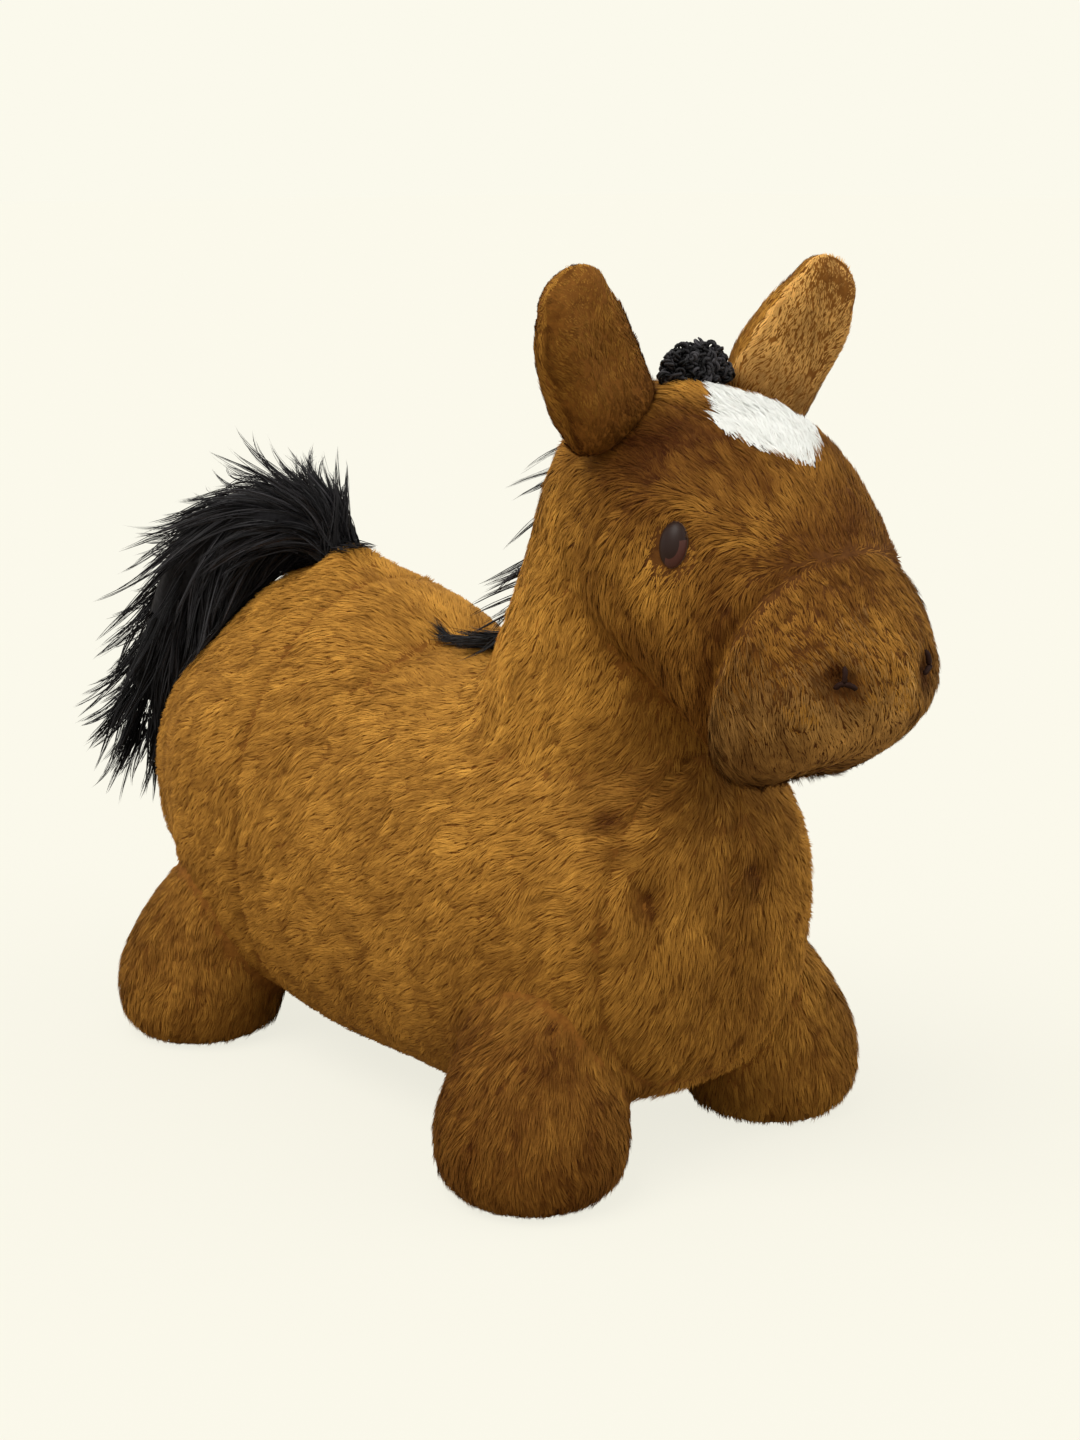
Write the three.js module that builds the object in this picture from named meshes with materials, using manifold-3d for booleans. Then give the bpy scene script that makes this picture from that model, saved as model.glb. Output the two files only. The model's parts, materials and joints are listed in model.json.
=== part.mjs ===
// Plush bouncy hopper in the shape of a horse: a hollow air bladder inside a sewn plush cover.
// Units are millimetres and +Z is up. The horse faces -Y and its left side is +X.
// The origin is on the floor, below the middle of the whole toy.
import * as THREE from 'three';
import { mergeVertices } from 'three/addons/utils/BufferGeometryUtils.js';
import Module from 'manifold-3d';

const wasm = await Module();
wasm.setup();

// Main sizes: the outlines below are drawn as shares of them
const bodyHalfWidth = 136;
const headHeight = 422;

// Cover, bladder and the gaps between them
const coverThickness = 12;
const seamGap = 0.3;
const bladderClearance = 0.4;
const bladderWall = 2;
const runningClearance = 0.5;

// Torso outline, from chest to rump: [along, height of the back, height of the belly, share of the width]
const torsoOutline = [
  [-132, 283, 46, 0.757],
  [-60, 318, 16, 0.926],
  [60, 305, 15, 0.97],
  [130, 303, 15, 0.985],
  [200, 337, 23, 1],
  [262, 339, 39, 0.956],
  [314, 294, 84, 0.82],
];
const torsoEndCap = 46;

// Neck outline: [along, share of the head's height, share of the body's half width, half depth]
const neckOutline = [
  [-40, 0.474, 0.735, 105],
  [-65, 0.687, 0.647, 88],
  [-85, 0.877, 0.603, 70],
  [-92, 0.99, 0.574, 60],
];
const neckEndCap = 50;

// Head outline: [along, drop below the head's height, share of the body's half width, half depth]
const headOutline = [
  [-92, 0, 0.596, 76],
  [-150, 17, 0.669, 84],
  [-205, 64, 0.61, 73],
  [-239, 101, 0.55, 67],
];
const pollCap = 50;
const noseCap = 44;

// Legs: where the feet stand and how round they are
const frontFoot = { aside: 0.776 * bodyHalfWidth, along: -102, shoulderShift: 18 };
const rearFoot = { aside: 0.8125 * bodyHalfWidth, along: 266, shoulderShift: -22 };
const legOutline = [
  [0, 44],
  [12, 58],
  [40, 63],
  [80, 54],
  [115, 45],
];
const legLean = 38;
const legLeanShares = [0, 0, 0.03, 0.36, 1];
const legTopCap = 40;
const soleRadius = 38;

// Seams of the cover
const chestSeamY = -150;
const chestSeamTop = [7, 272];
const chestSeamLow = [-30, 61];
const rumpSeamY = 178;
const bellyPanelHalfWidth = 58;
const bellyPanelHeight = 60;
const bellyPanelFrontY = -120;
const bellyPanelRearY = 285;
const gussetHalfWidth = 37;
const gussetMiddle = [-160, headHeight - 22];
const gussetFront = [-248, headHeight - 56];
const muzzleSeamTop = [-255, headHeight - 8];
const muzzleSeamBottom = [-206, headHeight - 122];

// Ears
const earRootAside = 60;
const earRootY = -124;
const earRootTilt = 0.57;
const earRootLift = 8;
const earRootHalfWidth = 36;
const earRootHalfDepth = 20;
const earHeight = 86;
const earHighShare = 0.6;
const earBulge = 2;
const earTipOut = 40;
const earTipForward = 12;
const earTipCap = 20;
const earHalfWidths = [37, 34, 27];
const earHalfDepths = [22, 20, 16];
const earPanelThickness = 8;
const earSwing = 25;

// Tail, mane, forelock and star
const tailRootY = 236;
const tailRootRadius = 15;
const tailRootHalfWidth = 20;
const tailRootLift = 4;
const tailRestClearance = 0.5;
const tailSwing = 45;
const tailRoute = [
  [-8, 24, 20, 36, 26],
  [-28, 72, 18, 44, 34],
  [-48, 116, -28, 42, 30],
  [-68, 146, -108, 38, 28],
  [-84, 158, -178, 20, 16],
];
const tailTipCap = 20;
const maneHeight = 14;
const maneHalfWidth = 8;
const maneFrontY = -66;
const maneTaperY = 40;
const maneEndY = 122;
const maneEndHalfWidth = 2;
const forelockY = -127;
const forelockHalfWidth = 28;
const forelockHalfDepth = 13;
const forelockHeight = 30;
const starCentreY = -188;
const starThickness = 2.5;
const starReach = 30;
const starHalfWidth = 33;
const starUpperLength = 50;
const starLowerLength = 40;
const starWaist = 0.3;
const starRound = [0.9, 0.7];

// Eyes and nostrils
const eyeY = -194;
const eyeZ = headHeight - 7;
const eyeHalfWidth = 10;
const eyeHalfHeight = 12;
const eyeDomeHeight = 8;
const eyeSeatDepth = 4;
const eyeShankRadius = 2.6;
const eyeShankLength = 7.4;
const washerRadius = 8;
const washerThickness = 1.5;
const nostrilX = 34;
const nostrilZ = headHeight - 78;
const nostrilDimpleRadius = 14;
const nostrilDimpleDepth = 4;
const threadRadius = 1.2;
const threadLength = 9;

// Belly zip
const zipFrontY = -55;
const zipLength = 165;
const zipDepth = 6;
const zipSlotHalfWidth = 8;
const tapeWidth = 12;
const tapeThickness = 0.8;
const coilGap = 1.6;
const coilWidth = 2;
const coilThickness = 2.4;
const stopLength = 3;
const sliderLength = 11;
const sliderWidth = 9;
const sliderPlate = 1.2;
const sliderPostWidth = 0.8;
const sliderClearance = 0.4;
const bailHeight = 2.6;
const bailWidth = 3;
const bailLength = 4.4;
const bailWall = 0.8;
const pullLength = 14;
const pullWidth = 6;
const pullThickness = 1.2;
const pullPinRadius = 0.6;

// Air valve
const valveY = 140;
const valveHoleRadius = 16;
const valveFlangeRadius = 14;
const valveFlangeThickness = 1.6;
const valveTubeRadius = 8;
const valveTubeLength = 9;
const valveBoreRadius = 5.6;
const plugClearance = 0.2;
const plugHeadRadius = 8.5;
const plugHeadThickness = 2.5;
const plugStemLength = 9;
const plugGripLength = 3;
const plugTaper = 0.9;

const vec = (x, y, z) => new THREE.Vector3(x, y, z);
const xAxis = vec(1, 0, 0);
const roundSides = 16;
const holeSides = 20;
const shankSides = 12;
const soleSides = 24;
const weldTolerance = 1e-4;

// A solid from a closed three.js geometry
function solidOf(geometry, matrix = new THREE.Matrix4()) {
  const bare = geometry.clone().applyMatrix4(matrix);
  bare.deleteAttribute('normal');
  bare.deleteAttribute('uv');
  const merged = mergeVertices(bare, weldTolerance);
  return new wasm.Manifold(new wasm.Mesh({
    numProp: 3,
    vertProperties: new Float32Array(merged.attributes.position.array),
    triVerts: new Uint32Array(merged.index.array),
  }));
}

function box(low, high) {
  const size = vec(...high).sub(vec(...low));
  const middle = vec(...high).add(vec(...low)).multiplyScalar(0.5);
  return solidOf(new THREE.BoxGeometry(size.x, size.y, size.z), new THREE.Matrix4().setPosition(middle));
}

// A turned solid whose axis is +Z, from a profile of [radius, height] points
function turned(profile, sides = roundSides) {
  const points = profile.map(([radius, height]) => new THREE.Vector2(radius, height));
  return solidOf(new THREE.LatheGeometry(points, sides), new THREE.Matrix4().makeRotationX(Math.PI / 2));
}

// A matrix that stands local +Z along a direction, with local +X as near to sideways as it can be
function standing(place, direction, sideways) {
  const z = direction.clone().normalize();
  const x = sideways.clone().addScaledVector(z, -sideways.dot(z)).normalize();
  const y = z.clone().cross(x);
  return new THREE.Matrix4().makeBasis(x, y, z).setPosition(place);
}

const moved = (solid, matrix) => solid.transform(matrix.elements);
const union = (solids) => solids.reduce((whole, part) => whole.add(part));

// Keeps what lies on the side of a plane that the normal points to, half a gap beyond it
function beyond(solid, point, normal, gap = seamGap) {
  const unit = normal.clone().normalize();
  return solid.trimByPlane([unit.x, unit.y, unit.z], unit.dot(point) + gap / 2);
}

function largest(solid) {
  return solid.decompose().reduce((best, part) => (part.volume() > best.volume() ? part : best));
}

// A form is a skin of rings along a spine, with rounded caps at the ends
const capSteps = 3;
const curveThrough = (points) => new THREE.CatmullRomCurve3(points, false, 'catmullrom', 0.5);

function formRings(shape, grow) {
  const spine = curveThrough(shape.spine);
  const sizes = curveThrough(shape.spine.map((_, i) => vec(shape.widths[i], shape.depths[i], 0)));
  const rings = [];
  const ringAt = (t, centre, scale) => {
    const tangent = spine.getTangent(t);
    const size = sizes.getPoint(t);
    const across = shape.across.clone().addScaledVector(tangent, -shape.across.dot(tangent)).normalize();
    rings.push({
      centre,
      across,
      up: tangent.clone().cross(across),
      width: (size.x + grow) * scale,
      depth: (size.y + grow) * scale,
    });
  };
  const capReach = (cap) => (cap > 0 ? cap + grow : 0);
  const capPoint = (t, reach) => spine.getPoint(t).addScaledVector(spine.getTangent(t), reach);
  for (let k = 1; k < capSteps && shape.capStart > 0; k += 1) {
    const turn = k / capSteps * Math.PI / 2;
    ringAt(0, capPoint(0, -capReach(shape.capStart) * Math.cos(turn)), Math.sin(turn));
  }
  for (let k = 0; k <= shape.steps; k += 1) ringAt(k / shape.steps, spine.getPoint(k / shape.steps), 1);
  for (let k = capSteps - 1; k > 0; k -= 1) {
    const turn = k / capSteps * Math.PI / 2;
    ringAt(1, capPoint(1, capReach(shape.capEnd) * Math.cos(turn)), Math.sin(turn));
  }
  return { rings, start: capPoint(0, -capReach(shape.capStart)), end: capPoint(1, capReach(shape.capEnd)) };
}

function superEllipse(angle, power) {
  const c = Math.cos(angle);
  const s = Math.sin(angle);
  return [Math.sign(c) * Math.abs(c) ** (2 / power), Math.sign(s) * Math.abs(s) ** (2 / power)];
}

function formSolid(shape, grow = 0) {
  const { rings, start, end } = formRings(shape, grow);
  const vertices = [start];
  for (const ring of rings) {
    for (let k = 0; k < shape.sides; k += 1) {
      const angle = 2 * Math.PI * (k + 0.5) / shape.sides;
      const above = Math.sin(angle) * ring.up.z > 0;
      const [c, s] = superEllipse(angle, above ? shape.squareAbove ?? shape.square : shape.square);
      vertices.push(ring.centre.clone()
        .addScaledVector(ring.across, c * ring.width)
        .addScaledVector(ring.up, s * ring.depth));
    }
  }
  vertices.push(end);
  const faces = [];
  const at = (ring, k) => 1 + ring * shape.sides + k % shape.sides;
  for (let k = 0; k < shape.sides; k += 1) {
    faces.push(0, at(0, k + 1), at(0, k));
    for (let r = 0; r + 1 < rings.length; r += 1) {
      faces.push(at(r, k), at(r, k + 1), at(r + 1, k + 1));
      faces.push(at(r, k), at(r + 1, k + 1), at(r + 1, k));
    }
    faces.push(at(rings.length - 1, k), at(rings.length - 1, k + 1), vertices.length - 1);
  }
  return new wasm.Manifold(new wasm.Mesh({
    numProp: 3,
    vertProperties: new Float32Array(vertices.flatMap((p) => [p.x, p.y, p.z])),
    triVerts: new Uint32Array(faces),
  }));
}

// The forms of the body: a section's squareness is 2 where it is an ellipse
const roundSection = 2;
const torsoSection = 2.75;
const torsoTopSection = 1.95;
const headSection = 2.2;
const torso = {
  spine: torsoOutline.map(([y, back, belly]) => vec(0, y, (back + belly) / 2)),
  widths: torsoOutline.map((row) => row[3] * bodyHalfWidth),
  depths: torsoOutline.map(([, back, belly]) => (back - belly) / 2),
  capStart: torsoEndCap,
  capEnd: torsoEndCap,
  sides: 24,
  steps: 10,
  across: xAxis,
  square: torsoSection,
  squareAbove: torsoTopSection,
};
const neck = {
  spine: neckOutline.map(([y, share]) => vec(0, y, share * headHeight)),
  widths: neckOutline.map((row) => row[2] * bodyHalfWidth),
  depths: neckOutline.map((row) => row[3]),
  capStart: 0,
  capEnd: neckEndCap,
  sides: 20,
  steps: 4,
  across: xAxis,
  square: roundSection,
};
const head = {
  spine: headOutline.map(([y, drop]) => vec(0, y, headHeight - drop)),
  widths: headOutline.map((row) => row[2] * bodyHalfWidth),
  depths: headOutline.map((row) => row[3]),
  capStart: pollCap,
  capEnd: noseCap,
  sides: 20,
  steps: 6,
  across: xAxis,
  square: headSection,
};

function legForm(side, foot) {
  return {
    side,
    foot,
    spine: legOutline.map(([z], i) => vec(
      side * (foot.aside - legLean * legLeanShares[i]),
      foot.along + foot.shoulderShift * legLeanShares[i],
      z,
    )),
    widths: legOutline.map((row) => row[1]),
    depths: legOutline.map((row) => row[1]),
    capStart: 0,
    capEnd: legTopCap,
    sides: 16,
    steps: 6,
    across: xAxis,
    square: roundSection,
  };
}

const legs = {
  front_right: legForm(-1, frontFoot),
  front_left: legForm(1, frontFoot),
  rear_right: legForm(-1, rearFoot),
  rear_left: legForm(1, rearFoot),
};

// The lining of the whole body at a depth below the pile, with fewer sides than the outside
const bodyForms = [torso, neck, head, ...Object.values(legs)];
const farAway = 2000;
const rayStart = farAway / 2;

const plainer = (shape) => ({ ...shape, sides: shape.sides / 2, steps: Math.ceil(shape.steps / 2) });

function lining(depth) {
  const whole = union(bodyForms.map((shape) => formSolid(plainer(shape), -depth)));
  return beyond(whole, vec(0, 0, depth), vec(0, 0, 1), 0);
}

const outside = formSolid(torso).add(formSolid(neck)).add(formSolid(head));
const coverInside = lining(coverThickness);
const bladderOutside = lining(coverThickness + bladderClearance);
const bladderInside = lining(coverThickness + bladderClearance + bladderWall);

// The place and normal where a ray from outside first meets the skin
function meshOf(solid) {
  const { vertProperties, triVerts } = solid.getMesh();
  const geometry = new THREE.BufferGeometry();
  geometry.setAttribute('position', new THREE.BufferAttribute(new Float32Array(vertProperties), 3));
  geometry.setIndex(new THREE.BufferAttribute(new Uint32Array(triVerts), 1));
  return new THREE.Mesh(geometry, new THREE.MeshStandardMaterial());
}

const outsideMesh = meshOf(outside);
const bladderMesh = meshOf(bladderOutside);

function touch(from, direction, surface = outsideMesh) {
  const ray = new THREE.Raycaster(from, direction.clone().normalize(), 0, farAway);
  const hit = ray.intersectObject(surface)[0];
  return { point: hit.point, normal: hit.face.normal.clone() };
}

// Ears: the root is a spheroid about the hinge line, so that the ear turns in its bowl
function earForm(side) {
  const outward = vec(side * Math.sin(earRootTilt), 0, Math.cos(earRootTilt));
  const hingeLine = vec(Math.cos(earRootTilt), 0, -side * Math.sin(earRootTilt));
  const seat = touch(vec(side * earRootAside, earRootY, rayStart), vec(0, 0, -1)).point;
  const root = seat.addScaledVector(outward, earRootLift);
  const tip = root.clone().add(vec(side * earTipOut, -earTipForward, earHeight - earTipCap));
  const low = root.clone().addScaledVector(outward, earHeight / 4);
  const high = low.clone().lerp(tip, earHighShare).add(vec(side * earBulge, 0, 0));
  return {
    side,
    outward,
    hingeLine,
    root,
    spine: [root, low, high, tip],
    widths: [earRootHalfWidth, ...earHalfWidths],
    depths: [earRootHalfDepth, ...earHalfDepths],
    capStart: earRootHalfDepth,
    capEnd: earTipCap,
    sides: 12,
    steps: 4,
    across: hingeLine,
    square: roundSection,
  };
}

// The bowl that a root turns in: a spheroid about its hinge line, whose flats clear the round root
const bowlSides = 16;
const bowlRows = 10;
const flatness = Math.cos(Math.PI / bowlSides) * Math.cos(Math.PI / bowlRows / 2);

function rootBowl(centre, hingeLine, halfWidth, radius) {
  const ball = new THREE.SphereGeometry(1 / flatness, bowlSides, bowlRows);
  const size = new THREE.Matrix4().makeScale(halfWidth, radius, radius);
  return solidOf(ball, standing(centre, vec(0, 0, 1), hingeLine).multiply(size));
}

const ears = { right: earForm(-1), left: earForm(1) };
const earBowls = (clearance) => union(Object.values(ears).map((ear) => rootBowl(
  ear.root,
  ear.hingeLine,
  earRootHalfWidth + clearance,
  earRootHalfDepth + clearance,
)));

const tailSeat = touch(vec(0, tailRootY, rayStart), vec(0, 0, -1)).point;
const tailRoot = tailSeat.clone().add(vec(0, 0, tailRootLift));
const tailForm = {
  spine: [tailRoot, ...tailRoute.map(([x, y, z]) => tailRoot.clone().add(vec(x, y, z)))],
  widths: [tailRootHalfWidth, ...tailRoute.map((row) => row[3])],
  depths: [tailRootRadius, ...tailRoute.map((row) => row[4])],
  capStart: tailRootRadius,
  capEnd: tailTipCap,
  sides: 12,
  steps: 8,
  across: xAxis,
  square: roundSection,
};
// What a turning piece keeps clear of: it is cut by its carrier at steps over its whole swing
const swingSteps = 4;

function clearOf(solid, carrier, pivot, hingeLine, fromDegrees, toDegrees) {
  let trimmed = solid;
  for (let k = 0; k <= swingSteps; k += 1) {
    const angle = THREE.MathUtils.degToRad(fromDegrees + (toDegrees - fromDegrees) * k / swingSteps);
    const turn = new THREE.Matrix4().makeTranslation(pivot.x, pivot.y, pivot.z)
      .multiply(new THREE.Matrix4().makeRotationAxis(hingeLine, -angle))
      .multiply(new THREE.Matrix4().makeTranslation(-pivot.x, -pivot.y, -pivot.z));
    trimmed = trimmed.subtract(moved(carrier, turn));
  }
  return trimmed;
}

const tailBowl = (clearance) => rootBowl(
  tailRoot,
  xAxis,
  tailRootHalfWidth + clearance,
  tailRootRadius + clearance,
);

const model = new THREE.Group();

function addPart(name, solid, look) {
  const part = meshOf(solid);
  part.material = new THREE.MeshStandardMaterial({ metalness: 0, ...look });
  part.name = name;
  model.add(part);
}

// Looks of the materials
const plush = { color: 0x96642a, roughness: 0.95 };
const headPlush = { color: 0x855526, roughness: 0.95 };
const blackPile = { color: 0x17161a, roughness: 0.9 };
const whitePlush = { color: 0xf2f0ea, roughness: 0.95 };
const filling = { color: 0xe9e6dc, roughness: 1 };
const vinyl = { color: 0xd9c9a0, roughness: 0.45 };
const eyeGloss = { color: 0x2a1510, roughness: 0.12 };
const threadLook = { color: 0x2a1a14, roughness: 0.8 };
const tapeLook = { color: 0x5d3e1e, roughness: 0.9 };
const nylon = { color: 0x4b3118, roughness: 0.5 };
const zinc = { color: 0x8d8a84, roughness: 0.35, metalness: 1 };
const clearPlastic = { color: 0xe8e6e0, roughness: 0.4 };

// Torso cover: chest, flank and rump panels on each side, and the belly panel
const bellyLine = torsoOutline[2][2];
const zipZ = bellyLine + zipDepth;
const zipRearY = zipFrontY + zipLength;
const tapeHalf = coilGap / 2 + tapeWidth;
const torsoShell = formSolid(torso).subtract(coverInside).subtract(tailBowl(2 * runningClearance));
const bellyRoom = box(
  [-bellyPanelHalfWidth, bellyPanelFrontY, -farAway],
  [bellyPanelHalfWidth, bellyPanelRearY, bellyPanelHeight],
);
const bellyKeepOut = box(
  [-bellyPanelHalfWidth - seamGap, bellyPanelFrontY - seamGap, -farAway],
  [bellyPanelHalfWidth + seamGap, bellyPanelRearY + seamGap, bellyPanelHeight + seamGap],
);
const zipSlot = box(
  [-zipSlotHalfWidth, zipFrontY, -farAway],
  [zipSlotHalfWidth, zipRearY, bellyPanelHeight],
);
const zipRebate = box(
  [-tapeHalf - seamGap, zipFrontY - seamGap, zipZ - seamGap],
  [tapeHalf + seamGap, zipRearY + seamGap, zipZ + tapeThickness + seamGap],
);
const valveHole = turned([
  [0, 0],
  [valveHoleRadius, 0],
  [valveHoleRadius, bellyPanelHeight],
  [0, bellyPanelHeight],
], holeSides);
const bellyPanel = torsoShell
  .intersect(bellyRoom)
  .subtract(zipSlot)
  .subtract(zipRebate)
  .subtract(moved(valveHole, new THREE.Matrix4().setPosition(0, valveY, 0)));
const torsoSides = torsoShell.subtract(bellyKeepOut);
const chest = beyond(torsoSides, vec(0, chestSeamY, 0), vec(0, -1, 0));
const chestPoint = vec(chestSeamTop[0], 0, chestSeamTop[1]);
const chestNormal = chestPoint.clone().sub(vec(chestSeamLow[0], 0, chestSeamLow[1])).cross(vec(0, -1, 0));
addPart('cover_belly_panel', largest(bellyPanel), plush);
for (const [name, side] of [['right', -1], ['left', 1]]) {
  const half = beyond(torsoSides, vec(0, 0, 0), vec(side, 0, 0));
  const middle = beyond(half, vec(0, chestSeamY, 0), vec(0, 1, 0));
  const chestSide = chestNormal.clone().multiplyScalar(side);
  addPart(`cover_chest_${name}`, largest(beyond(chest, chestPoint, chestSide)), plush);
  addPart(`cover_flank_${name}`, largest(beyond(middle, vec(0, rumpSeamY, 0), vec(0, -1, 0))), plush);
  addPart(`cover_rump_${name}`, largest(beyond(half, vec(0, rumpSeamY, 0), vec(0, 1, 0))), plush);
}

// Neck cover, one half on each side
const neckShell = formSolid(neck)
  .subtract(formSolid(torso, seamGap))
  .subtract(formSolid(head, seamGap))
  .subtract(coverInside);
for (const [name, side] of [['right', -1], ['left', 1]]) {
  addPart(`cover_neck_${name}`, largest(beyond(neckShell, vec(0, 0, 0), vec(side, 0, 0))), plush);
}

// Eyes: a dome on a shank, pressed into the pile and held by a washer behind the backing
function eyeAt(side) {
  const hit = touch(vec(side * rayStart, eyeY, eyeZ), vec(-side, 0, 0));
  return standing(hit.point, hit.normal, vec(0, 1, 0));
}

function eyeSolid() {
  const dome = new THREE.SphereGeometry(1, roundSides, 8);
  const size = new THREE.Matrix4().makeScale(eyeHalfWidth, eyeHalfHeight, eyeDomeHeight);
  const place = new THREE.Matrix4().setPosition(0, 0, -eyeSeatDepth).multiply(size);
  const bulb = solidOf(dome, place).trimByPlane([0, 0, 1], -eyeSeatDepth);
  const shank = turned([
    [0, -eyeSeatDepth - eyeShankLength],
    [eyeShankRadius, -eyeSeatDepth - eyeShankLength],
    [eyeShankRadius, -eyeSeatDepth + eyeDomeHeight / 4],
    [0, -eyeSeatDepth + eyeDomeHeight / 4],
  ], shankSides);
  return bulb.add(shank);
}

const washerTop = -eyeSeatDepth - eyeShankLength + 2 * washerThickness;
const washerBoreRadius = eyeShankRadius + seamGap;
const washerSolid = turned([
  [washerBoreRadius, washerTop - washerThickness],
  [washerRadius, washerTop - washerThickness],
  [washerRadius, washerTop],
  [washerBoreRadius, washerTop],
  [washerBoreRadius, washerTop - washerThickness],
]);
const eyePocket = union([
  solidOf(new THREE.CylinderGeometry(1, 1, 1, holeSides), new THREE.Matrix4()
    .setPosition(0, 0, -eyeSeatDepth - seamGap + eyeDomeHeight)
    .multiply(new THREE.Matrix4().makeScale(
      eyeHalfWidth + seamGap,
      eyeHalfHeight + seamGap,
      2 * eyeDomeHeight,
    ))
    .multiply(new THREE.Matrix4().makeRotationX(Math.PI / 2))),
  turned([
    [0, -2 * coverThickness],
    [washerRadius + seamGap, -2 * coverThickness],
    [washerRadius + seamGap, washerTop + seamGap],
    [washerBoreRadius, washerTop + seamGap],
    [washerBoreRadius, 0],
    [0, 0],
  ]),
]);

// Nostrils: a dimple with three stitches of thread that meet in a Y
function nostrilAt(side) {
  const hit = touch(vec(side * nostrilX, -rayStart, nostrilZ), vec(0, 1, 0));
  return standing(hit.point, hit.normal, xAxis);
}

const dimpleCentre = nostrilDimpleRadius - nostrilDimpleDepth;
const dimple = solidOf(
  new THREE.SphereGeometry(nostrilDimpleRadius, roundSides, 10),
  new THREE.Matrix4().setPosition(0, 0, dimpleCentre),
);

function stitch(angle) {
  const reach = nostrilDimpleRadius - 2 * seamGap - threadRadius;
  const spine = [0, 0.5, 1].map((share) => {
    const tilt = share * threadLength / reach;
    return vec(
      reach * Math.sin(tilt) * Math.cos(angle),
      reach * Math.sin(tilt) * Math.sin(angle),
      dimpleCentre - reach * Math.cos(tilt),
    );
  });
  return formSolid({
    spine,
    widths: [threadRadius, threadRadius, threadRadius],
    depths: [threadRadius, threadRadius, threadRadius],
    capStart: threadRadius,
    capEnd: threadRadius,
    sides: 5,
    steps: 2,
    across: vec(-Math.sin(angle), Math.cos(angle), 0),
    square: roundSection,
  });
}

const stitches = union([0, 1, 2].map((k) => stitch(Math.PI / 2 + k * 2 * Math.PI / 3)));
const eyes = { right: eyeAt(-1), left: eyeAt(1) };
const nostrils = { right: nostrilAt(-1), left: nostrilAt(1) };

// Head cover: forehead gusset, muzzle and a cheek on each side
let headShell = formSolid(head).subtract(coverInside).subtract(earBowls(2 * runningClearance));
for (const frame of Object.values(eyes)) headShell = headShell.subtract(moved(eyePocket, frame));
for (const frame of Object.values(nostrils)) headShell = headShell.subtract(moved(dimple, frame));
const muzzlePoint = vec(0, ...muzzleSeamTop);
const muzzleRun = vec(0, ...muzzleSeamBottom).sub(muzzlePoint);
const muzzleNormal = muzzleRun.clone().cross(xAxis);
const skull = beyond(headShell, muzzlePoint, muzzleNormal.clone().negate());
const gussetPoint = vec(0, ...gussetMiddle);
const gussetNormal = xAxis.clone().cross(vec(0, ...gussetFront).sub(gussetPoint)).negate();

function gussetRoom(halfWidth, drop) {
  const tall = box([-halfWidth, -farAway, -farAway], [halfWidth, farAway, farAway]);
  const low = gussetPoint.clone().addScaledVector(gussetNormal.clone().normalize(), -drop);
  return beyond(tall, low, gussetNormal, 0);
}

const cheeks = skull.subtract(gussetRoom(gussetHalfWidth + seamGap, seamGap));
addPart('cover_muzzle', largest(beyond(headShell, muzzlePoint, muzzleNormal)), headPlush);
addPart('cover_forehead_gusset', largest(skull.intersect(gussetRoom(gussetHalfWidth, 0))), headPlush);
for (const [name, side] of [['right', -1], ['left', 1]]) {
  addPart(`cover_cheek_${name}`, largest(beyond(cheeks, vec(0, 0, 0), vec(side, 0, 0))), headPlush);
  addPart(`eye_${name}`, moved(eyeSolid(), eyes[name]), eyeGloss);
  addPart(`eye_${name}_washer`, moved(washerSolid, eyes[name]), clearPlastic);
  addPart(`nostril_${name}_stitches`, moved(stitches, nostrils[name]), threadLook);
}

// Leg covers and soles
const disc = (radius, low, high) => turned([
  [0, low],
  [radius, low],
  [radius, high],
  [0, high],
], soleSides);
for (const [name, leg] of Object.entries(legs)) {
  const [footX, footY] = [leg.side * leg.foot.aside, leg.foot.along];
  const place = new THREE.Matrix4().setPosition(footX, footY, 0);
  const soleRoom = moved(disc(soleRadius + seamGap, -coverThickness, 2 * coverThickness), place);
  const legShell = formSolid(leg)
    .subtract(formSolid(torso, seamGap))
    .subtract(coverInside)
    .subtract(soleRoom);
  addPart(`cover_leg_${name}`, largest(legShell), plush);
  addPart(`sole_${name}`, moved(disc(soleRadius, 0, coverThickness), place), plush);
}

// Ears: front and back panels round a filling
for (const [name, ear] of Object.entries(ears)) {
  const forward = ear.outward.clone().cross(ear.hingeLine).multiplyScalar(-1);
  const carrier = formSolid(head, 2 * runningClearance).subtract(earBowls(runningClearance));
  const body = clearOf(formSolid(ear), carrier, ear.root, ear.hingeLine, -earSwing, earSwing);
  const shell = body.subtract(formSolid(ear, -earPanelThickness));
  addPart(`ear_${name}_front_panel`, largest(beyond(shell, ear.root, forward)), headPlush);
  addPart(`ear_${name}_back_panel`, largest(beyond(shell, ear.root, forward.clone().negate())), headPlush);
  const core = formSolid(ear, -earPanelThickness - seamGap);
  addPart(`ear_${name}_filling`, largest(body.intersect(core)), filling);
}

// Tail: kept clear of the rump that it rests on
const rump = formSolid(torso, tailRestClearance).subtract(tailBowl(runningClearance));
addPart('tail_pile', largest(clearOf(formSolid(tailForm), rump, tailRoot, xAxis, 0, tailSwing)), blackPile);

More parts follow.
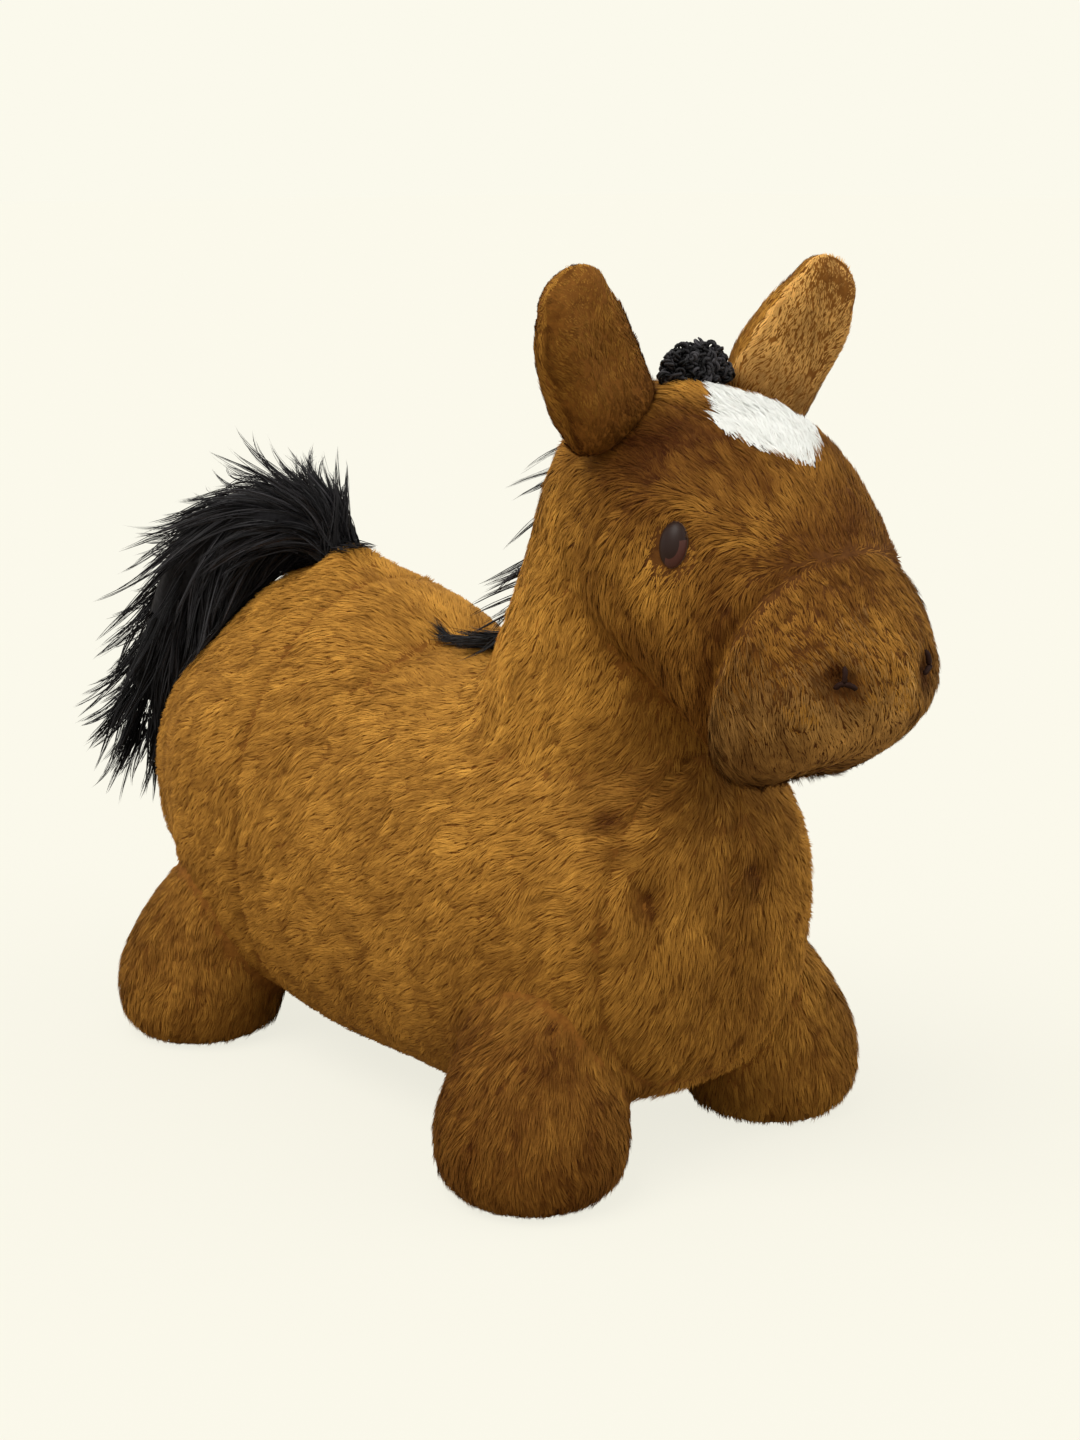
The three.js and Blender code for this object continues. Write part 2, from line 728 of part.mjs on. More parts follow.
// Mane: a strip that follows the back of the neck and tapers to a point on the withers
const maneShape = new THREE.Shape([
  new THREE.Vector2(-maneHalfWidth, maneFrontY),
  new THREE.Vector2(maneHalfWidth, maneFrontY),
  new THREE.Vector2(maneHalfWidth, maneTaperY),
  new THREE.Vector2(maneEndHalfWidth, maneEndY),
  new THREE.Vector2(-maneEndHalfWidth, maneEndY),
  new THREE.Vector2(-maneHalfWidth, maneTaperY),
]);
const maneRoom = solidOf(
  new THREE.ExtrudeGeometry(maneShape, { depth: farAway, bevelEnabled: false }),
  new THREE.Matrix4().setPosition(0, 0, torso.spine[0].z),
);
const bareBody = (grow) => union([torso, neck, head].map((shape) => formSolid(shape, grow)));
const bodySeat = bareBody(seamGap);
addPart('mane_strip', largest(bareBody(maneHeight).intersect(maneRoom).subtract(bodySeat)), blackPile);

// Forelock: a low tuft between the ears
const forelockSeat = touch(vec(0, forelockY, rayStart), vec(0, 0, -1)).point;
const forelockBall = solidOf(
  new THREE.SphereGeometry(1, roundSides, 8),
  new THREE.Matrix4()
    .setPosition(forelockSeat)
    .multiply(new THREE.Matrix4().makeScale(forelockHalfWidth, forelockHalfDepth, forelockHeight)),
);
addPart('forelock_tuft', largest(forelockBall.subtract(bodySeat)), blackPile);

// Star: a white kite-shaped patch on the forehead
const starSeat = touch(vec(0, starCentreY, rayStart), vec(0, 0, -1));
const starShape = new THREE.Shape();
starShape.moveTo(0, -starLowerLength);
const [roundX, roundY] = [starHalfWidth * starRound[0], -starLowerLength * starRound[1]];
const [waistX, waistY] = [starHalfWidth * starWaist, starUpperLength * starWaist];
starShape.quadraticCurveTo(roundX, roundY, starHalfWidth, 0);
starShape.quadraticCurveTo(waistX, waistY, 0, starUpperLength);
starShape.quadraticCurveTo(-waistX, waistY, -starHalfWidth, 0);
starShape.quadraticCurveTo(-roundX, roundY, 0, -starLowerLength);
const starPrism = new THREE.ExtrudeGeometry(starShape, {
  depth: 2 * starReach,
  bevelEnabled: false,
  curveSegments: 5,
});
const starFrame = standing(starSeat.point, starSeat.normal, xAxis);
const starRoom = solidOf(starPrism, starFrame.multiply(new THREE.Matrix4().setPosition(0, 0, -starReach)));
const starSkin = formSolid(head, seamGap + starThickness).subtract(formSolid(head, seamGap));
addPart('star_patch', largest(starSkin.intersect(starRoom)), whitePlush);

// Bladder with its valve seat and plug
const floorUnder = (y) => touch(vec(0, y, -rayStart), vec(0, 0, 1), bladderMesh).point.z;
const flangeEdges = [valveY - valveFlangeRadius, valveY + valveFlangeRadius];
const flangeTop = Math.min(...flangeEdges.map(floorUnder)) - seamGap;
const flangeBottom = flangeTop - valveFlangeThickness;
const valveAt = new THREE.Matrix4().setPosition(0, valveY, 0);
const bladderHole = moved(turned([
  [0, 0],
  [valveTubeRadius + seamGap, 0],
  [valveTubeRadius + seamGap, flangeTop + valveTubeLength],
  [0, flangeTop + valveTubeLength],
]), valveAt);
addPart('bladder', largest(bladderOutside.subtract(bladderInside).subtract(bladderHole)), vinyl);
addPart('valve_seat', moved(turned([
  [valveBoreRadius, flangeBottom],
  [valveFlangeRadius, flangeBottom],
  [valveFlangeRadius, flangeTop],
  [valveTubeRadius, flangeTop],
  [valveTubeRadius, flangeTop + valveTubeLength],
  [valveBoreRadius, flangeTop + valveTubeLength],
  [valveBoreRadius, flangeBottom],
]), valveAt), vinyl);
const plugHeadTop = flangeBottom - seamGap;
const plugHeadBottom = plugHeadTop - plugHeadThickness;
const plugStemRadius = valveBoreRadius - plugClearance;
addPart('valve_plug', moved(turned([
  [0, plugHeadBottom - plugGripLength],
  [plugStemRadius / 2, plugHeadBottom - plugGripLength],
  [plugStemRadius / 2, plugHeadBottom],
  [plugHeadRadius, plugHeadBottom],
  [plugHeadRadius, plugHeadTop],
  [plugStemRadius, plugHeadTop],
  [plugStemRadius * plugTaper, plugHeadTop + plugStemLength],
  [0, plugHeadTop + plugStemLength],
]), valveAt), clearPlastic);

// Belly zip: tapes, coils, stops, and a slider that runs along the coils with its pull
const coilMiddle = zipZ + tapeThickness / 2;
const coilLow = coilMiddle - coilThickness / 2;
const coilHigh = coilMiddle + coilThickness / 2;
for (const [name, side] of [['right', -1], ['left', 1]]) {
  const across = (near, far) => (side > 0 ? [near, far] : [-far, -near]);
  const coilEdge = coilGap / 2 + coilWidth;
  const [tapeA, tapeB] = across(coilEdge + seamGap, tapeHalf);
  const [coilA, coilB] = across(coilGap / 2, coilEdge);
  addPart(`zip_tape_${name}`, box(
    [tapeA, zipFrontY, zipZ],
    [tapeB, zipRearY, zipZ + tapeThickness],
  ), tapeLook);
  addPart(`zip_coil_${name}`, box(
    [coilA, zipFrontY + stopLength + seamGap, coilLow],
    [coilB, zipRearY - stopLength - seamGap, coilHigh],
  ), nylon);
}
const stopBox = (low, high, y) => box([low, y, coilLow], [high, y + stopLength, coilHigh]);
const coilReach = coilGap / 2 + coilWidth;
addPart('zip_top_stop_right', stopBox(-coilReach, -coilGap / 2, zipFrontY), zinc);
addPart('zip_top_stop_left', stopBox(coilGap / 2, coilReach, zipFrontY), zinc);
addPart('zip_bottom_stop', stopBox(-coilReach, coilReach, zipRearY - stopLength), zinc);

const sliderY = zipFrontY + stopLength + 2 * seamGap;
const sliderTop = coilHigh + sliderClearance;
const sliderBottom = coilLow - sliderClearance;
const plate = (low) => box(
  [-sliderWidth / 2, sliderY, low],
  [sliderWidth / 2, sliderY + sliderLength, low + sliderPlate],
);
const post = box(
  [-sliderPostWidth / 2, sliderY, sliderBottom - sliderPlate],
  [sliderPostWidth / 2, sliderY + sliderLength / 3, sliderTop + sliderPlate],
);
const bailY = sliderY + sliderLength / 2;
const pinZ = sliderBottom - sliderPlate - bailHeight / 2;
const bail = box(
  [-bailWidth / 2, bailY - bailLength / 2, sliderBottom - sliderPlate - bailHeight],
  [bailWidth / 2, bailY + bailLength / 2, sliderBottom],
).subtract(box(
  [-bailWidth, bailY - bailLength / 2 + bailWall, pinZ - pullPinRadius - seamGap],
  [bailWidth, bailY + bailLength / 2 - bailWall, pinZ + pullPinRadius + seamGap],
));
addPart('zip_slider', union([plate(sliderTop), plate(sliderBottom - sliderPlate), post, bail]), zinc);

// The pull is a loop whose pin crosses the bail, and it hangs below the slider
const pullOuter = box(
  [-pullWidth / 2, bailY - pullThickness / 2, pinZ - pullLength],
  [pullWidth / 2, bailY + pullThickness / 2, pinZ + pullPinRadius],
);
const pullWindow = box(
  [-bailWidth / 2 - seamGap, bailY - pullThickness, pinZ - pullPinRadius - 3 * seamGap - bailHeight],
  [bailWidth / 2 + seamGap, bailY + pullThickness, pinZ + 2 * pullPinRadius],
);
const pullPin = solidOf(
  new THREE.CylinderGeometry(pullPinRadius, pullPinRadius, pullWidth, shankSides),
  new THREE.Matrix4().makeRotationZ(Math.PI / 2).setPosition(0, bailY, pinZ),
);
addPart('zip_pull', pullOuter.subtract(pullWindow).add(pullPin), zinc);

// The origin goes to the floor below the middle of the toy
const bounds = new THREE.Box3().setFromObject(model);
model.position.y = -(bounds.min.y + bounds.max.y) / 2;

export default model;
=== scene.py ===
"""Looks of the plush bouncy hopper: a sewn horse with a short pile, on an air bladder."""
import json
import math
import bmesh
import bpy
import numpy as np
from mathutils import Matrix, Vector
from mathutils.bvhtree import BVHTree
from mathutils.kdtree import KDTree


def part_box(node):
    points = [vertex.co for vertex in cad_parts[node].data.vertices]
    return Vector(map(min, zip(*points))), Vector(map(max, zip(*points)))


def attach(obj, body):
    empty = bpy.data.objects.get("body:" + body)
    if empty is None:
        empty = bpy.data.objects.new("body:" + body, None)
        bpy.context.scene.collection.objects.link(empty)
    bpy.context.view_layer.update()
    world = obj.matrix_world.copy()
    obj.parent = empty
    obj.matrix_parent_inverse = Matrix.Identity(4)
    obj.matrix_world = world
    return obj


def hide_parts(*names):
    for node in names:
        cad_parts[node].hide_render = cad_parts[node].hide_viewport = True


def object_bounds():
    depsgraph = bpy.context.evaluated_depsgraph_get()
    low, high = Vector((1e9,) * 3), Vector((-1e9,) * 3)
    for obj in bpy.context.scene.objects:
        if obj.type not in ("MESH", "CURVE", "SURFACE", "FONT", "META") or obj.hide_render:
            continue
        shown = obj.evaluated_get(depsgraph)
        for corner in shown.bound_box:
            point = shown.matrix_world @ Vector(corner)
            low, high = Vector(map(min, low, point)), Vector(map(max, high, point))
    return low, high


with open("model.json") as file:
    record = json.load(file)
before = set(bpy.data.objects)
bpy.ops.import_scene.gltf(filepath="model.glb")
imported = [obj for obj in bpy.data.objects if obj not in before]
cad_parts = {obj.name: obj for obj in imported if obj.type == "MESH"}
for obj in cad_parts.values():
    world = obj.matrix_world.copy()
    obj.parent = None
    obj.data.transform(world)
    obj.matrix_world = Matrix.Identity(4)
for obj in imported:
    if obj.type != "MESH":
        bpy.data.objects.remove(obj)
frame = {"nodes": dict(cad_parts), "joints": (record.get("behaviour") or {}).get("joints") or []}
cad_box = [list(corner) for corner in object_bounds()]

# Lengths below are millimetres in the drawing of the part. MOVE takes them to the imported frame.
MM = 0.001
FRONT_FOOT = (105.5, -102.0, 18.0)
REAR_FOOT = (110.5, 266.0, -22.0)
sole_low, sole_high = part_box("sole_front_right")
MOVE = np.array([0.0, (sole_low.y + sole_high.y) / 2 / MM - FRONT_FOOT[1], 0.0])
X_AXIS, Y_AXIS, Z_AXIS = np.eye(3)
SIDES = ((-1, "right"), (1, "left"))
JOINTS = {joint["name"]: joint for joint in frame["joints"]}
scene = bpy.context.scene


def unit(v):
    v = np.asarray(v, float)
    return v / np.maximum(np.linalg.norm(v, axis=-1, keepdims=True), 1e-9)


def linked(name, data):
    thing = bpy.data.objects.new(name, data)
    scene.collection.objects.link(thing)
    return thing


# Camera: the photograph's viewing angle, fitted to the feet and the outline
CAMERA_TURN, CAMERA_RISE, CAMERA_AWAY = math.radians(-40.79), math.radians(14.0), 1400.0
CAMERA_TARGET = np.array([-61.9, -59.4, 285.5]) + MOVE
SENSOR, FOCAL_PIXELS, FRAME_PIXELS = 36.0, 2253.0, 1440.0
camera = linked("camera", bpy.data.cameras.new("camera"))
camera_back = Vector((
    math.sin(CAMERA_TURN) * math.cos(CAMERA_RISE),
    -math.cos(CAMERA_TURN) * math.cos(CAMERA_RISE),
    math.sin(CAMERA_RISE),
))
camera.location = Vector(CAMERA_TARGET * MM) + camera_back * CAMERA_AWAY * MM
camera.rotation_mode = "QUATERNION"
camera.rotation_quaternion = (-camera_back).to_track_quat("-Z", "Y")
camera.data.sensor_width = SENSOR
camera.data.lens = SENSOR * FOCAL_PIXELS / FRAME_PIXELS
camera.data.clip_start, camera.data.clip_end = 0.02, 50.0
scene.camera = camera


# Materials
def linear(rgb):
    c = np.asarray(rgb, float) / 255.0
    return tuple(np.where(c <= 0.04045, c / 12.92, ((c + 0.055) / 1.055) ** 2.4))


def set_inputs(node, values):
    for key, value in values.items():
        node.inputs[key].default_value = value
    return node


def new_node(tree, kind, **values):
    return set_inputs(tree.nodes.new(f"ShaderNode{kind}"), values)


def plain_material(name, rgb, roughness=0.7, specular=0.25, sheen=0.0, metallic=0.0):
    material = bpy.data.materials.new(name)
    material.use_nodes = True
    set_inputs(material.node_tree.nodes["Principled BSDF"], {
        "Base Color": (*linear(rgb), 1), "Roughness": roughness, "Specular IOR Level": specular,
        "Sheen Weight": sheen, "Metallic": metallic,
    })
    return material


def add_bump(material, scale, height, strength=0.5, detail=2.0, stretch=(1, 1, 1)):
    tree = material.node_tree
    place = new_node(tree, "TexCoord")
    mapping = new_node(tree, "Mapping", Scale=stretch)
    noise = new_node(tree, "TexNoise", Scale=scale, Detail=detail)
    bump = new_node(tree, "Bump", Strength=strength, Distance=height)
    tree.links.new(place.outputs["Object"], mapping.inputs["Vector"])
    tree.links.new(mapping.outputs["Vector"], noise.inputs["Vector"])
    tree.links.new(noise.outputs["Fac"], bump.inputs["Height"])
    tree.links.new(bump.outputs["Normal"], tree.nodes["Principled BSDF"].inputs["Normal"])
    return noise


def mottled_material(name, dark, light, scale, roughness=0.9, height=0.001, sheen=0.2, stretch=(1, 1, 1)):
    material = plain_material(name, dark, roughness, 0.15, sheen)
    noise = add_bump(material, scale, height, 0.6, 4.0, stretch)
    tree = material.node_tree
    ramp = new_node(tree, "ValToRGB")
    for element, place, rgb in zip(ramp.color_ramp.elements, (0.3, 0.7), (dark, light)):
        element.position, element.color = place, (*linear(rgb), 1)
    tree.links.new(noise.outputs["Fac"], ramp.inputs["Fac"])
    tree.links.new(ramp.outputs["Color"], tree.nodes["Principled BSDF"].inputs["Base Color"])
    return material


TONES, BLACK_TONES, WHITE_TONES = 20, 10, 6


def pile_tones(name, dark, light, count, roughness=0.75, specular=0.08):
    """Plain shades of one pile colour, from dark to light: a strand's root takes a darker one than its tip,
    for darker roots and for painted shade in the gaps between locks.
    """
    low, high = np.asarray(dark, float), np.asarray(light, float)
    return [
        plain_material(f"{name}_{k}", low + (high - low) * k / (count - 1), roughness, specular)
        for k in range(count)
    ]


brown_pile = pile_tones("pile_brown", (62, 28, 2), (254, 190, 84), TONES)
# A greyer pile: the muzzle's own duller colour, and painted light on the left ear's front.
dusty_pile_and_painted_light = pile_tones("pile_dusty", (62, 34, 10), (248, 192, 106), TONES)
black_pile = pile_tones("pile_black", (7, 7, 8), (84, 82, 86), BLACK_TONES, 0.5, 0.2)
white_pile = pile_tones("pile_white", (226, 230, 226), (248, 250, 246), WHITE_TONES, 0.85, 0.1)
BACKING_GRAIN = 220.0
base_body = mottled_material("backing_gold", (112, 68, 20), (140, 90, 32), BACKING_GRAIN, sheen=0.0)
base_head = mottled_material("backing_brown", (78, 44, 12), (104, 64, 22), BACKING_GRAIN, sheen=0.0)
base_black = mottled_material("backing_black", (10, 10, 12), (30, 29, 33), BACKING_GRAIN)
base_white = mottled_material("backing_white", (222, 222, 218), (244, 244, 240), BACKING_GRAIN)


# Forms, as in the drawing. Torso: along, height of the back and of the belly, half width
TORSO = [
    (-132, 283, 46, 103), (-60, 318, 16, 126), (60, 305, 15, 132), (130, 303, 15, 134),
    (200, 337, 23, 136), (262, 339, 39, 130), (314, 294, 84, 111.5),
]
# Neck and head: along, height, half width, half depth. Leg: height, half width
NECK = [(-40, 200, 100, 105), (-65, 290, 88, 88), (-85, 370, 82, 70), (-92, 418, 78, 60)]
HEAD = [(-92, 422, 81, 76), (-150, 405, 91, 84), (-205, 358, 83, 73), (-239, 321, 74.8, 67)]
LEG = [(0, 44), (12, 58), (40, 63), (80, 54), (115, 45)]
LEG_LEAN, LEG_LEAN_SHARES = 38.0, np.array([0, 0, 0.03, 0.36, 1])
TORSO_POWER, TORSO_POWER_ABOVE, HEAD_POWER = 2.75, 1.95, 2.2
CAP_STEPS, CURVE_STEP = 14, 1e-3
CHEST_SEAM_Y, RUMP_SEAM_Y = -150.0, 178.0
CHEST_SEAM_TOP, CHEST_SEAM_LOW = (7.0, 272.0), (-30.0, 61.0)
BELLY_HALF, BELLY_TOP, BELLY_FRONT, BELLY_REAR = 58.0, 60.0, -120.0, 285.0
GUSSET_HALF = 37.0
GUSSET_MIDDLE, GUSSET_FRONT = (-160.0, 400.0), (-248.0, 366.0)
MUZZLE_TOP, MUZZLE_LOW = (-255.0, 414.0), (-206.0, 300.0)
ZIP_HALF, ZIP_FRONT, ZIP_REAR, ZIP_TOP = 6.5, -55.0, 110.0, 22.4
VALVE_Y, VALVE_HOLE, VALVE_TOP = 140.0, 14.5, 33.0
VALVE_FROM, OPENING_REACH = ZIP_REAR + 4, 16.0


def spline(points, t):
    """A smooth curve through the points, at shares t of the way along."""
    p = np.asarray(points, float)
    p = np.vstack([2 * p[0] - p[1], p, 2 * p[-1] - p[-2]])
    spans = len(p) - 3
    s = np.clip(np.asarray(t, float), 0, 1) * spans
    i = np.minimum(s.astype(int), spans - 1)
    w = (s - i)[:, None]
    p0, p1, p2, p3 = (p[i + k] for k in range(4))
    m1, m2 = (p2 - p0) / 2, (p3 - p1) / 2
    return (
        (2 * w**3 - 3 * w**2 + 1) * p1 + (w**3 - 2 * w**2 + w) * m1
        + (3 * w**2 - 2 * w**3) * p2 + (w**3 - w**2) * m2
    )


def round_angles(sides, start=0.0):
    return 2 * math.pi * (np.arange(sides) + start) / sides


def ring_faces(rings, sides, first=0):
    """Quads between rings of points that follow each other."""
    starts = [first + r * sides for r in range(rings)]
    return [
        (low + a, low + (a + 1) % sides, high + (a + 1) % sides, high + a)
        for low, high in zip(starts, starts[1:]) for a in range(sides)
    ]


def form(
    spine, widths, depths, caps, across=X_AXIS, power=2.0, power_above=None, sides=72, steps=56, grow=0.0,
):
    """Vertices and faces of a closed form: rings along a spine with rounded caps."""
    t = np.linspace(0, 1, steps + 1)
    centres = spline(spine, t)
    tangents = unit(spline(spine, t + CURVE_STEP) - spline(spine, t - CURVE_STEP))
    sizes = spline(np.column_stack([widths, depths]), t) + grow
    turn = (np.arange(1, CAP_STEPS) / CAP_STEPS) * math.pi / 2

    def cap_rows(end, reach):
        return [
            (centres[end] + tangents[end] * reach * math.cos(a), tangents[end], sizes[end] * math.sin(a))
            for a in turn if reach
        ]

    low, high = (cap + grow if cap > 0 else 0 for cap in caps)
    rows = [*cap_rows(0, -low), *zip(centres, tangents, sizes), *cap_rows(-1, high)[::-1]]
    angle = round_angles(sides, 0.5)
    cosine, sine = np.cos(angle), np.sin(angle)
    points = [centres[0] - tangents[0] * low]
    for centre, tangent, size in rows:
        side = unit(across - tangent * (across @ tangent))
        up = np.cross(tangent, side)
        share = 2 / np.where(sine * up[2] > 0, power_above or power, power)
        c, s = np.sign(cosine) * np.abs(cosine) ** share, np.sign(sine) * np.abs(sine) ** share
        points.append(centre + np.outer(c, side) * size[0] + np.outer(s, up) * size[1])
    points.append(centres[-1] + tangents[-1] * high)
    around = [(a, (a + 1) % sides) for a in range(sides)]
    last = 1 + (len(rows) - 1) * sides
    faces = [(0, 1 + b, 1 + a) for a, b in around] + ring_faces(len(rows), sides, 1)
    faces += [(last + a, last + b, last + sides) for a, b in around]
    return np.vstack(points), faces


def body_form(name, **detail):
    if name == "torso":
        y, top, low, width = np.array(TORSO, float).T
        spine = np.column_stack([y * 0, y, (top + low) / 2])
        powers = {"power": TORSO_POWER, "power_above": TORSO_POWER_ABOVE}
        return form(spine, width, (top - low) / 2, (46, 46), **powers, **detail)
    if name in ("neck", "head"):
        y, z, width, depth = np.array(NECK if name == "neck" else HEAD, float).T
        caps, power = ((0, 50), 2.0) if name == "neck" else ((50, 44), HEAD_POWER)
        return form(np.column_stack([y * 0, y, z]), width, depth, caps, power=power, **detail)
    x, y, shift = FRONT_FOOT if "front" in name else REAR_FOOT
    side = -1 if "right" in name else 1
    z, width = np.array(LEG, float).T
    spine = np.column_stack([side * (x - LEG_LEAN * LEG_LEAN_SHARES), y + shift * LEG_LEAN_SHARES, z])
    return form(spine, width, width, (0, 40), **detail)


LEGS = ["leg_front_right", "leg_front_left", "leg_rear_right", "leg_rear_left"]
FORMS = ["torso", "neck", "head", *LEGS]
SKIN_DEPTH = 2.2
VOXEL = 3.6


def new_object(name, co, faces, materials=(), move=MOVE):
    mesh = bpy.data.meshes.new(name)
    mesh.from_pydata([tuple(p) for p in (co + move) * MM], [], [tuple(f) for f in faces])
    for material in materials:
        mesh.materials.append(material)
    mesh.shade_smooth()
    return linked(name, mesh)


def read(items, key, kind=float, width=3):
    values = np.empty(len(items) * width, kind)
    items.foreach_get(key, values)
    return values.reshape(-1, width)


def mesh_arrays(mesh):
    """A mesh's points in millimetres, its normals and its triangles."""
    mesh.calc_loop_triangles()
    triangles = read(mesh.loop_triangles, "vertices", int)
    return read(mesh.vertices, "co") / MM, read(mesh.vertex_normals, "vector"), triangles


def relax(co, edges, share, rounds):
    """Each point moves towards the middle of its neighbours by its share."""
    count = len(co)
    both = np.concatenate([edges, edges[:, ::-1]])
    degree = np.maximum(np.bincount(both[:, 0], minlength=count), 1)[:, None]
    for _ in range(rounds):
        middle = np.column_stack([
            np.bincount(both[:, 0], weights=co[both[:, 1], axis], minlength=count) for axis in range(3)
        ]) / degree
        co = co + (middle - co) * share[:, None]
    return co


def waves(p, length, seed, count=7):
    """A smooth seeded field of about -1 to 1 that varies over a length."""
    rng = np.random.default_rng(seed)
    way = unit(rng.normal(size=(count, 3))) * (2 * math.pi / length) * rng.uniform(0.6, 1.6, (count, 1))
    phase = rng.uniform(0, 2 * math.pi, count)
    return np.sin(p @ way.T + phase).sum(1) / math.sqrt(count)


def smoothstep(low, high, x):
    t = np.clip((x - low) / (high - low), 0, 1)
    return t * t * (3 - 2 * t)


def falloff(x, reach):
    """One at nought, and less on both sides of it."""
    return np.exp(-((x / reach) ** 2))


def apart(p, place):
    return np.linalg.norm(p - place, axis=-1)


def bells(p, marks):
    """The marks' amounts at points: each is whole at its place, and falls off over its reach."""
    return sum(amount * falloff(apart(p, place), reach) for *place, reach, amount in marks)


# Skin of the body: the forms joined and smoothed where they meet
parts, faces, first = [], [], 0
for name in FORMS:
    co, f = body_form(name, grow=-SKIN_DEPTH)
    faces += [tuple(i + first for i in face) for face in f]
    first += len(co)
    parts.append(co)
draft = new_object("draft", np.vstack(parts), faces, move=0)
modifier = draft.modifiers.new("skin", "REMESH")
modifier.mode = "VOXEL"
modifier.voxel_size = VOXEL * MM
skin = bpy.data.meshes.new_from_object(draft.evaluated_get(bpy.context.evaluated_depsgraph_get()))
bpy.data.objects.remove(draft)
skin_co = read(skin.vertices, "co") / MM
surfaces = {}
for name in FORMS:
    co, f = body_form(name, grow=-SKIN_DEPTH, sides=48, steps=36)
    surfaces[name] = BVHTree.FromPolygons([tuple(p) for p in co], f)


def nearest_forms(points):
    """Each point's distance from every form's surface."""
    return np.array([[surfaces[name].find_nearest(Vector(p))[3] for p in points] for name in FORMS]).T


away = np.sort(nearest_forms(skin_co), axis=1)
near_join = 1 - smoothstep(4.0, 26.0, away[:, 1])
skin_co = relax(skin_co, read(skin.edges, "vertices", int, 2), 0.12 + 0.55 * near_join, 26)
near_floor = skin_co[:, 2] < 3
skin_co[near_floor, 2] = np.maximum(skin_co[near_floor, 2], 0.6)
skin.vertices.foreach_set("co", (skin_co * MM).ravel())
skin.update()


# Panels of the cover: the skin is cut along its seam planes
def plane_normal(a, b, axis, sign):
    """Square to the plane across X through two points, and turned to one side of an axis."""
    normal = unit(np.cross([0, b[0] - a[0], b[1] - a[1]], X_AXIS))
    return normal if normal[axis] * sign > 0 else -normal


muzzle_normal = plane_normal(MUZZLE_TOP, MUZZLE_LOW, 1, -1)
gusset_normal = plane_normal(GUSSET_MIDDLE, GUSSET_FRONT, 2, 1)
chest_point = np.array([CHEST_SEAM_TOP[0], 0, CHEST_SEAM_TOP[1]])
chest_normal = unit(np.cross(chest_point - [CHEST_SEAM_LOW[0], 0, CHEST_SEAM_LOW[1]], [0, -1, 0]))
muzzle_point, gusset_point = np.array([0, *MUZZLE_TOP]), np.array([0, *GUSSET_MIDDLE])


def square_cuts(owner, *cuts):
    return [(owner, axis * place, axis) for axis, place in cuts]


CUTS = square_cuts("torso", (Y_AXIS, CHEST_SEAM_Y), (Y_AXIS, RUMP_SEAM_Y), (X_AXIS, 0))
CUTS += [("torso", chest_point, chest_normal)] + square_cuts(
    "torso", (X_AXIS, BELLY_HALF), (X_AXIS, -BELLY_HALF), (Y_AXIS, BELLY_FRONT), (Y_AXIS, BELLY_REAR),
    (Z_AXIS, BELLY_TOP), (X_AXIS, ZIP_HALF), (X_AXIS, -ZIP_HALF), (Y_AXIS, ZIP_FRONT), (Y_AXIS, ZIP_REAR),
)
CUTS += square_cuts("neck", (X_AXIS, 0)) + [("head", muzzle_point, muzzle_normal)]
CUTS += square_cuts("head", (X_AXIS, 0), (X_AXIS, GUSSET_HALF), (X_AXIS, -GUSSET_HALF))
CUTS += [("head", gusset_point, gusset_normal)]


def past_muzzle(p):
    return (p - muzzle_point) @ muzzle_normal


def panel_of(owner, p):
    """The name of the cover panel, or opening, that a point of a form lies on."""
    x, y, z = p
    side = "right" if x < 0 else "left"
    if owner.startswith("leg"):
        return owner
    if owner == "neck":
        return f"neck_{side}"
    if owner == "head":
        if past_muzzle(p) > 0:
            return "muzzle"
        if abs(x) < GUSSET_HALF and (p - gusset_point) @ gusset_normal > 0:
            return "forehead_gusset"
        return f"cheek_{side}"
    if abs(x) < BELLY_HALF and BELLY_FRONT < y < BELLY_REAR and z < BELLY_TOP:
        in_zip = abs(x) < ZIP_HALF and ZIP_FRONT < y < ZIP_REAR
        in_valve = math.hypot(x, y - VALVE_Y) < VALVE_HOLE
        return "opening" if in_zip or in_valve else "belly_panel"
    if y < CHEST_SEAM_Y:
        return "chest_left" if (p - chest_point) @ chest_normal > 0 else "chest_right"
    return f"rump_{side}" if y > RUMP_SEAM_Y else f"flank_{side}"


def middle_of(face):
    return np.array(face.calc_center_median()) / MM


work = bmesh.new()
work.from_mesh(skin)
owners = np.argmin(nearest_forms([middle_of(f) for f in work.faces]), axis=1)
owner_layer = work.faces.layers.int.new("owner")
for face, owner in zip(work.faces, owners):
    face[owner_layer] = int(owner)
for name, point, normal in CUTS:
    chosen = [f for f in work.faces if FORMS[f[owner_layer]] == name]
    chosen += [*{v for f in chosen for v in f.verts}, *{e for f in chosen for e in f.edges}]
    bmesh.ops.bisect_plane(work, geom=chosen, dist=2e-5, plane_co=Vector(point * MM), plane_no=Vector(normal))
bmesh.ops.triangulate(work, faces=[f for f in work.faces if len(f.verts) > 4])
panel_names = []
panel_layer = work.faces.layers.int.new("panel")
for face in work.faces:
    name = panel_of(FORMS[face[owner_layer]], middle_of(face))
    if name not in panel_names:
        panel_names.append(name)
    face[panel_layer] = panel_names.index(name)

